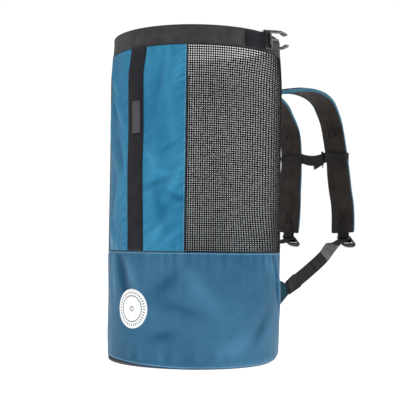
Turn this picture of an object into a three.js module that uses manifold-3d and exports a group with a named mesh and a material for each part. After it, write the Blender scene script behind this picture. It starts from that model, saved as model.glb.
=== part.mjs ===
// Mesh dive gear bag: a tall round roll-top backpack with a cloth tub, a cloth front, net sides and two
// padded shoulder straps. Millimetres, +Z up. The origin is the centre of the base on the floor, the
// front faces -Y and the shoulder straps are on +Y. Angles round the bag start at the front, towards +X.
import * as THREE from "three";
import { mergeVertices } from "three/addons/utils/BufferGeometryUtils.js";
import Module from "manifold-3d";

const DEGREE = Math.PI / 180;

// Gaps between pieces that touch, and the largest facet of the round walls and of the trims laid on them
const FIT = 0.3;
const WALL_STEP = 7.5 * DEGREE;
const TRIM_STEP = 4 * DEGREE;

// Webbing wrapped round a bar: turn between its bends, and how early it starts where it comes in slanted
const WRAP_STEP = 30 * DEGREE;
const WRAP_LEAD = 40 * DEGREE;

// Bag body
const BAG_RADIUS = 175;
const BAG_HEIGHT = 650;
const CLOTH = 2;
const BASE_ROUNDING = 12;
const TUB_HEIGHT = 220;
const BAND_HEIGHT = 38;
const FRONT_HALF_ANGLE = 37 * DEGREE;
const BACK_HALF_ANGLE = 48 * DEGREE;

// Net: a coarse lattice in place of the fine one
const NET_COLUMNS = 7;
const NET_ROWS = 8;
const NET_STRAND = 7;
const NET_HEM = 9;

// Trims on the walls
const BINDING_WIDTH = 5;
const BINDING_THICKNESS = 1.2;
const WEBBING = 1.5;
const FRONT_WEBBING_WIDTH = 38;
const LABEL_WIDTH = 24;
const LABEL_HEIGHT = 62;
const LABEL_BELOW_BAND = 98;
const LABEL_THICKNESS = 0.8;
const PATCH_RADIUS = 37.5;
const PATCH_HEIGHT = 111;
const PATCH_THICKNESS = 1.2;
const PATCH_ARC = 80 * DEGREE;
const PATCH_STEP = 14 * DEGREE;

// Roll-top buckle at the side seams of the band
const BUCKLE_WEBBING_WIDTH = 38;
const BUCKLE_WIDTH = 45;
const BUCKLE_FRAME_LENGTH = 21;
const BUCKLE_BAR = 4;
const BUCKLE_OUT = 10;
const PRONG_LENGTH = 48;
const PRONG_THICKNESS = 6;
const PRONG_CLEARANCE = 0.8;
const GUIDE_LENGTH = 19;
const GUIDE_WIDTH = 4;
const SOCKET_LENGTH = 34;
const SOCKET_WALL = 3;
const TAB_OVERLAP = 12 * DEGREE;

// Shoulder pads
const PAD_WIDTH = 56;
const PAD_THICKNESS = 9;
const PAD_BEVEL = 2;
const PAD_END_ROUNDING = 14;
const PAD_ROOT_BELOW_BAND = 50;
const PAD_REACH = 262;
const PAD_RISE = 22;
const PAD_DROP = 294;
const PAD_SPREAD = 79;
const PAD_STEPS = 26;
const PAD_WEBBING_WIDTH = 25;
const PAD_WEBBING_SKIP = 2;

// Ladder locks, adjuster webbing, keepers and strap tabs
const LOCK_DROP = 13;
const LOCK_TILT = 35 * DEGREE;
const LOCK_THICKNESS = 4;
const LOCK_BAR = 4;
const LOCK_PITCH = 14;
const LOCK_RAIL = 3.5;
const LOCK_TONGUE = 9;
const ADJUSTER_WIDTH = 28;
const ADJUSTER_STEPS = 18;
const ADJUSTER_SLACK = 0.4;
const TAIL_END = 0.42;
const KEEPER_LENGTH = 40;
const KEEPER_START = 6;
const STRAP_TAB_ANGLE = 146 * DEGREE;
const STRAP_TAB_HEIGHT = 130;
const STRAP_TAB_LENGTH = 70;
const STRAP_TAB_REACH = 45;
const STRAP_TAB_TIP_RISE = 11;
const STRAP_TAB_THICKNESS = 3;

// Sternum strap
const STERNUM_SHARE = 0.66;
const STERNUM_WIDTH = 25;
const STERNUM_SAG = 7;
const STERNUM_SLANT = 10 * DEGREE;
const LOOP_CLEARANCE = 0.9;
const SLIDER_WIDTH = 6;
const SLIDER_HEIGHT = 33;
const SLIDER_THICKNESS = 3;
const SLIDER_INSET = 7;
const STERNUM_TAIL_LENGTH = 30;
const STERNUM_TAIL_DROP = 10;
const TIP_SIZE = 7;

const TUB_TOP = TUB_HEIGHT - FIT / 2;
const PANEL_BOTTOM = TUB_HEIGHT + FIT / 2;
const BAND_BOTTOM = BAG_HEIGHT - BAND_HEIGHT;
const PANEL_TOP = BAND_BOTTOM - FIT / 2;
const HALF_TURN = Math.PI;

const X_AXIS = new THREE.Vector3(1, 0, 0);
const Y_AXIS = new THREE.Vector3(0, 1, 0);
const Z_AXIS = new THREE.Vector3(0, 0, 1);

// Outer edge and inner edge of a buckle's prong: out as a share of PRONG_LENGTH from the frame, off as a
// share of half BUCKLE_WIDTH from the middle
const PRONG_OUTLINE = [
  { out: 0.0, off: 0.73 },
  { out: 0.6, off: 0.69 },
  { out: 0.84, off: 0.42 },
  { out: 1.0, off: 0.5 },
  { out: 0.94, off: 0.74 },
  { out: 0.6, off: 1.0 },
  { out: 0.0, off: 1.0 },
];

// Tongue of a ladder lock: off as a share of half its width, low as a share of LOCK_TONGUE
const TONGUE_OUTLINE = [
  { off: 1.0, low: 0.0 },
  { off: 0.7, low: 0.7 },
  { off: 0.35, low: 1.0 },
];

// Radius of the walls: height as a share of BAG_HEIGHT, radius as a share of BAG_RADIUS
const BODY_PROFILE = [
  { height: 0.0, radius: 0.99 },
  { height: 0.08, radius: 1.0 },
  { height: 0.6, radius: 0.997 },
  { height: 0.87, radius: 1.003 },
  { height: 0.942, radius: 0.986 },
  { height: 1.0, radius: 0.975 },
];

// Centre line of a shoulder pad from the back panel to its lower end: side as a share of PAD_SPREAD, out
// as a share of PAD_REACH from the wall, rise as a share of PAD_RISE above the root, or of PAD_DROP below
const PAD_ROUTE = [
  { side: 0.59, out: 0.0, rise: 0.0 },
  { side: 0.604, out: 0.103, rise: 0.27 },
  { side: 0.642, out: 0.27, rise: 0.7 },
  { side: 0.704, out: 0.438, rise: 1.0 },
  { side: 0.755, out: 0.571, rise: 0.93 },
  { side: 0.792, out: 0.667, rise: 0.64 },
  { side: 0.811, out: 0.75, rise: 0.09 },
  { side: 0.811, out: 0.811, rise: -0.054 },
  { side: 0.796, out: 0.87, rise: -0.126 },
  { side: 0.786, out: 0.903, rise: -0.187 },
  { side: 0.796, out: 0.93, rise: -0.276 },
  { side: 0.855, out: 0.966, rise: -0.483 },
  { side: 0.918, out: 0.983, rise: -0.673 },
  { side: 0.956, out: 0.998, rise: -0.776 },
  { side: 0.981, out: 1.0, rise: -0.888 },
  { side: 1.0, out: 0.99, rise: -1.0 },
];

// Adjuster webbing from the tab's tip to the lock's bar: along as a share of the way between them, lift as
// a share of the height between them
const ADJUSTER_ROUTE = [
  { along: 0.0, lift: 0.0 },
  { along: 0.1, lift: 0.104 },
  { along: 0.364, lift: 0.387 },
  { along: 0.588, lift: 0.66 },
  { along: 0.736, lift: 0.9 },
  { along: 0.88, lift: 0.99 },
  { along: 1.0, lift: 1.0 },
];

// Share of a quarter turn that the adjuster webbing is twisted, from its upright end at the tab
const TWIST_START = 0.46;
const TWIST_END = 0.82;

const COLOURS = {
  tub: 0x42728f,
  front: 0x3b7fa6,
  net: 0x232323,
  back: 0x2a2b2d,
  band: 0x3c3c3e,
  base: 0x4a4b4d,
  webbing: 0x302f33,
  adjuster: 0x32302d,
  label: 0x3a3a3d,
  patch: 0xe4e6e6,
  pad: 0x2f3133,
  plastic: 0x2c2d2f,
  buckle: 0x55575a,
  tab: 0x275467,
  tip: 0xc9c9c4,
};

const wasm = await Module();
wasm.setup();

// Angles from one to another in equal steps no larger than the given one.
function spread(from, to, step) {
  const count = Math.max(1, Math.ceil((to - from) / step - 1e-6));
  return Array.from({ length: count + 1 }, (_, i) => from + ((to - from) * i) / count);
}

// Radius of the walls' outer face at a height.
function wallRadius(z) {
  const share = THREE.MathUtils.clamp(z / BAG_HEIGHT, 0, 1);
  const upper = BODY_PROFILE.findIndex((row, i) => i > 0 && share <= row.height);
  const a = BODY_PROFILE[upper - 1];
  const b = BODY_PROFILE[upper];
  const along = (share - a.height) / (b.height - a.height);
  return BAG_RADIUS * THREE.MathUtils.lerp(a.radius, b.radius, along);
}

// Heights of a piece of wall: its two ends, and each bend of the profile between them.
function wallHeights(low, high) {
  const bends = BODY_PROFILE.map((row) => row.height * BAG_HEIGHT);
  return [low, ...bends.filter((z) => z > low + 1 && z < high - 1), high];
}

// A point at an angle round the bag, offset outwards from the walls' outer face.
function wallPoint(angle, z, offset) {
  const radius = wallRadius(z) + offset;
  return new THREE.Vector3(radius * Math.sin(angle), -radius * Math.cos(angle), z);
}

// How far back the wall lies at a distance from the middle plane.
function wallDepth(x, z, offset) {
  return Math.sqrt((wallRadius(z) + offset) ** 2 - x ** 2);
}

// A geometry from points and triangles, turned so that its faces point outwards.
function solid(points, triangles) {
  let volume = 0;
  for (const [a, b, c] of triangles) {
    volume += points[a].dot(new THREE.Vector3().crossVectors(points[b], points[c]));
  }
  const geometry = new THREE.BufferGeometry().setFromPoints(points);
  geometry.setIndex(triangles.flatMap(([a, b, c]) => (volume < 0 ? [a, c, b] : [a, b, c])));
  geometry.computeVertexNormals();
  return geometry;
}

// A solid through rings of points, closed by a flat fan at each end.
function loft(rings) {
  const size = rings[0].length;
  const triangles = [];
  for (let ring = 0; ring < rings.length - 1; ring++) {
    for (let i = 0; i < size; i++) {
      const a = ring * size + i;
      const b = ring * size + ((i + 1) % size);
      triangles.push([a, b, b + size], [a, b + size, a + size]);
    }
  }
  const last = (rings.length - 1) * size;
  for (let i = 1; i < size - 1; i++) {
    triangles.push([0, i + 1, i], [last, last + i, last + i + 1]);
  }
  return solid(rings.flat(), triangles);
}

// A curved sheet on the wall between two offsets, with a cell for each pair of neighbouring angles and
// heights. heightsAt gives the heights at an angle, and isOpen says which cells are holes.
function wallSheet({ angles, heightsAt, inner, outer, isOpen = () => false, closed = false }) {
  const columns = angles.length - 1;
  const rows = heightsAt(angles[0]).length - 1;
  const lines = closed ? columns : columns + 1;
  const layer = lines * (rows + 1);
  const points = [];
  for (const offset of [inner, outer]) {
    for (let i = 0; i < lines; i++) {
      for (const z of heightsAt(angles[i])) points.push(wallPoint(angles[i], z, offset));
    }
  }
  const at = (side, i, j) => side * layer + (i % lines) * (rows + 1) + j;
  const filled = (i, j) => {
    const column = closed ? (i + columns) % columns : i;
    return column >= 0 && column < columns && j >= 0 && j < rows && !isOpen(column, j);
  };
  const triangles = [];
  const quad = (a, b, c, d) => triangles.push([a, b, c], [a, c, d]);
  for (let i = 0; i < columns; i++) {
    for (let j = 0; j < rows; j++) {
      if (!filled(i, j)) continue;
      quad(at(1, i, j), at(1, i + 1, j), at(1, i + 1, j + 1), at(1, i, j + 1));
      quad(at(0, i, j), at(0, i, j + 1), at(0, i + 1, j + 1), at(0, i + 1, j));
      if (!filled(i, j - 1)) quad(at(0, i, j), at(0, i + 1, j), at(1, i + 1, j), at(1, i, j));
      if (!filled(i, j + 1)) {
        quad(at(1, i, j + 1), at(1, i + 1, j + 1), at(0, i + 1, j + 1), at(0, i, j + 1));
      }
      if (!filled(i - 1, j)) quad(at(0, i, j), at(1, i, j), at(1, i, j + 1), at(0, i, j + 1));
      if (!filled(i + 1, j)) {
        quad(at(1, i + 1, j), at(0, i + 1, j), at(0, i + 1, j + 1), at(1, i + 1, j + 1));
      }
    }
  }
  return solid(points, triangles);
}

// A sheet of even thickness between two angles and two heights.
function panel(from, to, low, high, inner, outer, step) {
  const heights = wallHeights(low, high);
  return wallSheet({ angles: spread(from, to, step), heightsAt: () => heights, inner, outer });
}

// A flat section of a strap or pad, as points across it and through it, with bevelled edges if asked.
function section(width, thickness, bevel = 0) {
  const w = width / 2;
  const t = thickness / 2;
  if (bevel === 0) return [[-w, -t], [w, -t], [w, t], [-w, t]];
  const [u, s] = [w - bevel, t - bevel];
  return [[-u, -t], [u, -t], [w, -s], [w, s], [u, t], [-u, t], [-w, s], [-w, -s]];
}

// One ring of a strap: a section placed at a point by its directions across and through.
function ring(outline, { at, across, through }) {
  return outline.map(([a, t]) => at.clone().addScaledVector(across, a).addScaledVector(through, t));
}

// A strap of even width and thickness through a list of frames.
function strap(frames, width, thickness) {
  return loft(frames.map((frame) => ring(section(width, thickness), frame)));
}

// A frame on a path: across is the given direction squared to the path, and through is square to both.
function frameAt(at, along, across) {
  const side = across.clone().addScaledVector(along, -across.dot(along)).normalize();
  return { at, along, across: side, through: new THREE.Vector3().crossVectors(side, along) };
}

// The same frame moved through its thickness.
function lifted(frame, distance) {
  return { ...frame, at: frame.at.clone().addScaledVector(frame.through, distance) };
}

// Frames round a bar that lies along the across direction, from one side of it to the other. lead is how
// far before the first side the wrap begins.
function barFrames(centre, radius, start, forward, across, lead = 0) {
  return spread(-lead, HALF_TURN, WRAP_STEP).map((turn) => {
    const out = start.clone().multiplyScalar(Math.cos(turn)).addScaledVector(forward, Math.sin(turn));
    return { at: centre.clone().addScaledVector(out, radius), across, through: out };
  });
}

// A flat outline of points with holes, extruded evenly to both sides of its plane.
function plate(outline, holes, thickness) {
  const shape = new THREE.Shape(outline.map(([x, y]) => new THREE.Vector2(x, y)));
  for (const hole of holes) {
    shape.holes.push(new THREE.Path(hole.map(([x, y]) => new THREE.Vector2(x, y))));
  }
  const geometry = new THREE.ExtrudeGeometry(shape, { depth: thickness, bevelEnabled: false });
  return geometry.translate(0, 0, -thickness / 2);
}

// The same geometry on the other side of the middle plane.
function mirrored(geometry) {
  const copy = (geometry.index ? geometry.toNonIndexed() : geometry.clone()).scale(-1, 1, 1);
  const { array } = copy.attributes.position;
  for (let i = 0; i < array.length; i += 9) {
    for (let j = 0; j < 3; j++) [array[i + 3 + j], array[i + 6 + j]] = [array[i + 6 + j], array[i + 3 + j]];
  }
  copy.computeVertexNormals();
  return copy;
}

// The corners of a rectangle, from its low corner to its high one.
function rectangle(x0, y0, x1, y1) {
  return [[x0, y0], [x1, y0], [x1, y1], [x0, y1]];
}

// A geometry put in place by three directions and a point.
function placed(geometry, x, y, z, at) {
  return geometry.applyMatrix4(new THREE.Matrix4().makeBasis(x, y, z).setPosition(at));
}

// A closed geometry as a solid that can be joined.
function asManifold(geometry) {
  const bare = geometry.index ? geometry.toNonIndexed() : geometry.clone();
  bare.deleteAttribute("normal");
  bare.deleteAttribute("uv");
  const merged = mergeVertices(bare, 1e-3);
  return new wasm.Manifold(
    new wasm.Mesh({
      numProp: 3,
      vertProperties: merged.attributes.position.array,
      triVerts: new Uint32Array(merged.index.array),
    }),
  );
}

// The geometry of a solid that was joined or cut.
function fromManifold(manifold) {
  const mesh = manifold.getMesh();
  const geometry = new THREE.BufferGeometry();
  geometry.setAttribute("position", new THREE.BufferAttribute(mesh.vertProperties, 3));
  geometry.setIndex(new THREE.BufferAttribute(mesh.triVerts, 1));
  geometry.computeVertexNormals();
  return geometry;
}

// Two geometries joined into one.
function joined(first, second) {
  return fromManifold(asManifold(first).add(asManifold(second)));
}

// A strap that runs into the bag, cut off along the outside of the walls.
function seated(geometry) {
  const rows = BODY_PROFILE.map((row) => row.height * BAG_HEIGHT);
  const side = rows.map((z) => new THREE.Vector2(wallRadius(z) + FIT, z));
  const profile = [new THREE.Vector2(0, 0), ...side, new THREE.Vector2(0, BAG_HEIGHT)];
  const turns = Math.round((4 * HALF_TURN) / WALL_STEP);
  const bag = new THREE.LatheGeometry(profile, turns).rotateX(HALF_TURN / 2);
  return fromManifold(asManifold(geometry).subtract(asManifold(bag)));
}

// Base: a shallow cloth pan whose rounded edge turns up to meet the tub.
function baseDisc() {
  const rim = wallRadius(BASE_ROUNDING);
  const arc = (radius, from, to) =>
    spread(from, to, HALF_TURN / 8).map(
      (turn) =>
        new THREE.Vector2(
          rim - BASE_ROUNDING + radius * Math.cos(turn),
          BASE_ROUNDING + radius * Math.sin(turn),
        ),
    );
  const inside = arc(BASE_ROUNDING - CLOTH, -HALF_TURN / 2, 0).reverse();
  const profile = [
    new THREE.Vector2(0, 0),
    ...arc(BASE_ROUNDING, -HALF_TURN / 2, 0),
    ...inside,
    new THREE.Vector2(0, CLOTH),
  ];
  const turns = Math.round((2 * HALF_TURN) / WALL_STEP);
  return new THREE.LatheGeometry(profile, turns).rotateX(HALF_TURN / 2);
}

// Tub: the closed cloth ring from the base to the seam below the net.
function lowerWall() {
  const heights = wallHeights(BASE_ROUNDING + FIT, TUB_TOP);
  const angles = spread(-HALF_TURN, HALF_TURN, WALL_STEP);
  return wallSheet({ angles, heightsAt: () => heights, inner: -CLOTH, outer: 0, closed: true });
}

// Lines across a lattice: hems at both ends and even holes between its strands.
function latticeLines(low, high, count, strand, hem) {
  const pitch = (high - low - 2 * hem + strand) / count;
  const holes = Array.from({ length: count }, (_, i) => low + hem + i * pitch);
  return [low, ...holes.flatMap((start) => [start, start + pitch - strand]), high];
}

// Net: a lattice of strands with square holes cut through, from the front panel to the back panel.
function netPanel() {
  const gap = FIT / BAG_RADIUS / 2;
  const from = FRONT_HALF_ANGLE + gap;
  const to = HALF_TURN - BACK_HALF_ANGLE - gap;
  const strand = NET_STRAND / BAG_RADIUS;
  const hem = NET_HEM / BAG_RADIUS;
  const angles = latticeLines(from, to, NET_COLUMNS, strand, hem);
  const heights = latticeLines(PANEL_BOTTOM, PANEL_TOP, NET_ROWS, NET_STRAND, NET_HEM);
  const isOpen = (i, j) => i % 2 === 1 && j % 2 === 1;
  return wallSheet({ angles, heightsAt: () => heights, inner: -CLOTH, outer: 0, isOpen });
}

// One half of the roll-top's webbing band, from side seam to side seam.
function topBand(from, to) {
  const gap = FIT / BAG_RADIUS / 2;
  return panel(from + gap, to - gap, BAND_BOTTOM + FIT / 2, BAG_HEIGHT, -CLOTH, 0, WALL_STEP);
}

// Binding: a narrow tape over the seam between a panel and the net.
function binding(angle) {
  const half = BINDING_WIDTH / BAG_RADIUS / 2;
  return panel(angle - half, angle + half, PANEL_BOTTOM, PANEL_TOP, FIT, FIT + BINDING_THICKNESS, TRIM_STEP);
}

// Webbing down the middle of the front panel.
function frontWebbing() {
  const half = FRONT_WEBBING_WIDTH / BAG_RADIUS / 2;
  return panel(-half, half, PANEL_BOTTOM, PANEL_TOP, FIT, FIT + WEBBING, TRIM_STEP);
}

// Small bare label sewn on the front webbing.
function labelTag() {
  const half = LABEL_WIDTH / BAG_RADIUS / 2;
  const high = BAND_BOTTOM - LABEL_BELOW_BAND;
  const inner = 2 * FIT + WEBBING;
  return panel(-half, half, high - LABEL_HEIGHT, high, inner, inner + LABEL_THICKNESS, TRIM_STEP);
}

// Round bare patch on the tub: upright strips between the two arcs of its outline.
function roundPatch() {
  const half = PATCH_RADIUS / BAG_RADIUS;
  const turns = spread(-PATCH_ARC, PATCH_ARC, PATCH_STEP);
  const angles = turns.map((turn) => half * Math.sin(turn));
  const heightsAt = (angle) => {
    const rise = Math.sqrt(PATCH_RADIUS ** 2 - (angle * BAG_RADIUS) ** 2);
    return [PATCH_HEIGHT - rise, PATCH_HEIGHT, PATCH_HEIGHT + rise];
  };
  return wallSheet({ angles, heightsAt, inner: FIT, outer: FIT + PATCH_THICKNESS });
}

// Centre of the bar that a buckle's webbing wraps, on the side seam of the band.
function buckleBar() {
  const z = BAG_HEIGHT - BAND_HEIGHT / 2;
  const radius = wrapRadius(BUCKLE_BAR, PRONG_THICKNESS);
  return new THREE.Vector3(wallRadius(z) + FIT + WEBBING / 2 + radius, BUCKLE_OUT, z);
}

// Upward direction along the wall of the band at an angle.
function bandUp(angle) {
  return wallPoint(angle, BAG_HEIGHT, 0).sub(wallPoint(angle, BAND_BOTTOM, 0)).normalize();
}

// Radius of the middle of a webbing that wraps a bar.
function wrapRadius(bar, thickness) {
  return Math.hypot(bar, thickness) / 2 + FIT + WEBBING / 2;
}

// Webbing tab that holds a buckle: out along the band, round the buckle's bar and back beneath itself.
function buckleTab() {
  const bar = buckleBar();
  const layers = { under: FIT + WEBBING / 2, over: 2 * FIT + WEBBING * 1.5 };
  const onBand = (angle, offset) => {
    const across = bandUp(angle);
    const along = new THREE.Vector3(Math.cos(angle), Math.sin(angle), 0);
    const through = new THREE.Vector3().crossVectors(along, across);
    return { at: wallPoint(angle, bar.z, offset), across, through };
  };
  const seam = HALF_TURN / 2;
  const over = spread(seam - TAB_OVERLAP, seam, TRIM_STEP).map((angle) => onBand(angle, layers.over));
  const under = spread(seam - TAB_OVERLAP / 2, seam, TRIM_STEP).map((angle) => onBand(angle, layers.under));
  const up = bandUp(seam);
  const outwards = new THREE.Vector3().crossVectors(Y_AXIS, up);
  const radius = wrapRadius(BUCKLE_BAR, PRONG_THICKNESS);
  const wrap = barFrames(bar, radius, outwards, Y_AXIS, up, WRAP_LEAD);
  const turned = under.reverse().map((frame) => ({ ...frame, through: frame.through.clone().negate() }));
  return strap([...over, ...wrap, ...turned], BUCKLE_WEBBING_WIDTH, WEBBING);
}

// Outline of the frame of a buckle half, along and across it, and the slot for its webbing.
function buckleFrame() {
  const half = BUCKLE_WIDTH / 2;
  const slotHalf = BUCKLE_WEBBING_WIDTH / 2 + 2 * FIT;
  const back = -BUCKLE_BAR / 2;
  const slotEnd = BUCKLE_FRAME_LENGTH - BUCKLE_BAR * 2;
  const slot = rectangle(BUCKLE_BAR / 2, -slotHalf, slotEnd, slotHalf);
  return { half, back, front: back + BUCKLE_FRAME_LENGTH, slot };
}

// A buckle half put on the side seam: its length runs back from the seam, and its width up the band.
function onSeam(geometry) {
  const up = bandUp(HALF_TURN / 2);
  return placed(geometry, Y_AXIS, up, new THREE.Vector3().crossVectors(Y_AXIS, up), buckleBar());
}

// Male half of the roll-top buckle: a slotted frame with two prongs and a guide between them.
function buckleMale() {
  const { half, back, front, slot } = buckleFrame();
  const upper = PRONG_OUTLINE.map(({ out, off }) => [front + out * PRONG_LENGTH, off * half]);
  const lower = upper.map(([x, y]) => [x, -y]).reverse();
  const guide = GUIDE_WIDTH / 2;
  const middle = rectangle(front, -guide, front + GUIDE_LENGTH, guide);
  const outline = [[back, -half], ...lower, ...middle, ...upper, [back, half]];
  const geometry = plate(outline, [slot], PRONG_THICKNESS);
  return onSeam(geometry);
}

// Female half: a slotted frame joined to a socket that takes the prongs.
function buckleFemale() {
  const { half, back, front, slot } = buckleFrame();
  const frame = plate(rectangle(back, -half, front, half), [slot], PRONG_THICKNESS);
  const deep = PRONG_THICKNESS / 2 + SOCKET_WALL;
  const wide = half + SOCKET_WALL / 2;
  const mouth = front - SOCKET_WALL + SOCKET_LENGTH;
  const floor = front + SOCKET_WALL;
  const at = (x, y, z) => rectangle(-y, -z, y, z).map(([b, c]) => new THREE.Vector3(x, b, c));
  const socket = loft([
    at(front - SOCKET_WALL, wide, deep),
    at(mouth, wide, deep),
    at(mouth, wide - SOCKET_WALL, deep - SOCKET_WALL + PRONG_CLEARANCE),
    at(floor, wide - SOCKET_WALL, deep - SOCKET_WALL + PRONG_CLEARANCE),
  ]);
  return onSeam(joined(frame, socket));
}

// Centre line of a shoulder pad.
function padCurve() {
  const root = BAND_BOTTOM - PAD_ROOT_BELOW_BAND;
  const wall = wallDepth(0, root, FIT);
  const points = PAD_ROUTE.map((row) => {
    const rise = row.rise * (row.rise > 0 ? PAD_RISE : PAD_DROP);
    return new THREE.Vector3(row.side * PAD_SPREAD, wall + row.out * PAD_REACH, root + rise);
  });
  return new THREE.CatmullRomCurve3(points, false, "centripetal");
}

// The frame of a pad at a share of its length: across is sideways, and through points away from the bag.
function padFrame(curve, share) {
  return frameAt(curve.getPointAt(share), curve.getTangentAt(share), X_AXIS);
}

// Shares of a pad's length where its sections lie, closer together in its rounded end.
function padShares(curve) {
  const rounding = PAD_END_ROUNDING / curve.getLength();
  return [...spread(0, 1 - rounding, 1 / PAD_STEPS), ...[0.45, 0.13, 0].map((part) => 1 - part * rounding)];
}

// Shoulder pad: a bevelled strap whose root meets the wall and whose lower end has round corners.
function shoulderPad() {
  const curve = padCurve();
  const length = curve.getLength();
  const corner = (distance) => PAD_END_ROUNDING * (1 - Math.sqrt(1 - (1 - distance / PAD_END_ROUNDING) ** 2));
  const root = padFrame(curve, 0);
  root.at.addScaledVector(root.along, -PAD_WIDTH / 2);
  const rings = padShares(curve).map((share) => {
    const distance = (1 - share) * length;
    const cut = distance < PAD_END_ROUNDING ? corner(distance) : 0;
    return ring(section(PAD_WIDTH - 2 * cut, PAD_THICKNESS, PAD_BEVEL), padFrame(curve, share));
  });
  return seated(loft([ring(section(PAD_WIDTH, PAD_THICKNESS, PAD_BEVEL), root), ...rings]));
}

// The bars of a ladder lock that hangs below a pad: the pad's webbing wraps top, the adjuster wraps middle.
function lockFrame(curve) {
  const end = padFrame(curve, 1);
  const down = end.along.clone().applyAxisAngle(end.across, LOCK_TILT);
  const top = end.at.clone().addScaledVector(end.along, LOCK_DROP);
  const middle = top.clone().addScaledVector(down, LOCK_PITCH);
  const face = new THREE.Vector3().crossVectors(end.across, down);
  return { end, down, top, middle, face };
}

// Webbing on the outside of a pad, round the lock's top bar and up behind the pad's end.
function padWebbing() {
  const curve = padCurve();
  const { end, top } = lockFrame(curve);
  const lift = PAD_THICKNESS / 2 + FIT + WEBBING / 2;
  const shares = padShares(curve);
  const front = shares.slice(PAD_WEBBING_SKIP).map((share) => lifted(padFrame(curve, share), lift));
  const wrap = barFrames(top, wrapRadius(LOCK_BAR, LOCK_THICKNESS), end.through, end.along, end.across);
  const back = shares.slice(-4).reverse().map((share) => {
    const frame = lifted(padFrame(curve, share), -lift);
    return { ...frame, through: frame.through.clone().negate() };
  });
  return strap([...front, ...wrap, ...back], PAD_WEBBING_WIDTH, WEBBING);
}

// A slot with cut corners, as wide on both sides of its middle.
function slotOutline(half, low, high) {
  const cut = LOCK_BAR / 4;
  return [
    [-half + cut, low], [half - cut, low], [half, low + cut], [half, high - cut],
    [half - cut, high], [-half + cut, high], [-half, high - cut], [-half, low + cut],
  ];
}

// Ladder lock: a plate with two slots, three bars and a rounded tongue.
function ladderLock() {
  const { end, down, top, face } = lockFrame(padCurve());
  const inside = ADJUSTER_WIDTH / 2 + 2 * FIT;
  const half = inside + LOCK_RAIL;
  const bar = LOCK_BAR / 2;
  const low = 2 * LOCK_PITCH + bar;
  const tongue = TONGUE_OUTLINE.map((row) => [row.off * half, low + row.low * LOCK_TONGUE]);
  const facing = tongue.map(([x, y]) => [-x, y]).reverse();
  const outline = [[-half + bar, -bar], [half - bar, -bar], [half, bar], ...tongue, ...facing, [-half, bar]];
  const slots = [0, 1].map((i) => slotOutline(inside, i * LOCK_PITCH + bar, (i + 1) * LOCK_PITCH - bar));
  return placed(plate(outline, slots, LOCK_THICKNESS), end.across, down, face, top);
}

// Strap tab: where it meets the wall, its tip, and the direction from one to the other.
function strapTabPlace() {
  const root = wallPoint(STRAP_TAB_ANGLE, STRAP_TAB_HEIGHT, FIT);
  const lock = lockFrame(padCurve()).middle;
  const out = new THREE.Vector3(lock.x - root.x, lock.y - root.y, 0).normalize();
  const tip = root.clone().addScaledVector(out, STRAP_TAB_REACH);
  tip.z += STRAP_TAB_TIP_RISE;
  return { root, tip, out };
}

// Strap tab: an upright cloth triangle sewn to the tub, with a blunt tip against the webbing's end.
function strapTab() {
  const { root, out } = strapTabPlace();
  const sideways = new THREE.Vector3(out.y, -out.x, 0);
  const upright = { across: Z_AXIS, through: sideways };
  const wall = ring(section(STRAP_TAB_LENGTH, STRAP_TAB_THICKNESS), { at: root, ...upright });
  for (const point of wall) point.y = wallDepth(point.x, point.z, FIT);
  const start = adjusterFrame(adjusterCurve(), 0);
  start.at.addScaledVector(start.along, -FIT);
  const end = ring(section(ADJUSTER_WIDTH, STRAP_TAB_THICKNESS), start);
  return loft([wall, end]);
}

// Radius of the adjuster webbing round the lock's middle bar, with a little slack.
function adjusterRadius() {
  return wrapRadius(LOCK_BAR, LOCK_THICKNESS) + ADJUSTER_SLACK;
}

// Centre line of the adjuster webbing, from the tab's tip to below the lock's middle bar.
function adjusterCurve() {
  const { tip: from } = strapTabPlace();
  const { middle } = lockFrame(padCurve());
  const to = middle.clone().addScaledVector(Z_AXIS, -adjusterRadius());
  const points = ADJUSTER_ROUTE.map((row) => {
    const point = from.clone().lerp(to, row.along);
    point.z = THREE.MathUtils.lerp(from.z, to.z, row.lift);
    return point;
  });
  return new THREE.CatmullRomCurve3(points, false, "centripetal");
}

// The frame of the adjuster webbing: upright at the tab, and turned flat before the lock.
function adjusterFrame(curve, share) {
  const along = curve.getTangentAt(share);
  const flat = frameAt(curve.getPointAt(share), along, X_AXIS);
  const turn = (1 - THREE.MathUtils.smoothstep(share, TWIST_START, TWIST_END)) * (HALF_TURN / 2);
  return frameAt(flat.at, along, flat.across.clone().applyAxisAngle(along, turn));
}

// Adjuster webbing: from the tab through the lock, round its middle bar and back along itself as a tail.
function adjusterWebbing() {
  const curve = adjusterCurve();
  const { middle, end } = lockFrame(padCurve());
  const main = spread(0, 1, 1 / ADJUSTER_STEPS).map((share) => adjusterFrame(curve, share));
  const down = Z_AXIS.clone().negate();
  const wrap = barFrames(middle, adjusterRadius(), down, Y_AXIS, end.across);
  const layer = WEBBING + 2 * FIT;
  const open = 2 * adjusterRadius() - layer;
  const tail = spread(TAIL_END, 1 - 1 / ADJUSTER_STEPS, 1 / ADJUSTER_STEPS).map((share) => {
    const rise = layer + open * THREE.MathUtils.smoothstep(share, TWIST_END, 1);
    const frame = lifted(adjusterFrame(curve, share), rise);
    return { ...frame, through: frame.through.clone().negate() };
  });
  const outer = main.map((frame) => ({ ...frame, through: frame.through.clone().negate() }));
  const inner = tail.reverse().map((frame) => ({ ...frame, through: frame.through.clone().negate() }));
  return strap([...outer, ...wrap.slice(1), ...inner], ADJUSTER_WIDTH, WEBBING);
}

// A flat ring of webbing that other straps pass through.
function webbingRing(innerWidth, innerDepth, length) {
  const [w, d] = [innerWidth / 2, innerDepth / 2];
  const outline = rectangle(-w - WEBBING, -d - WEBBING, w + WEBBING, d + WEBBING);
  return plate(outline, [rectangle(-w, -d, w, d)], length);
}

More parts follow.
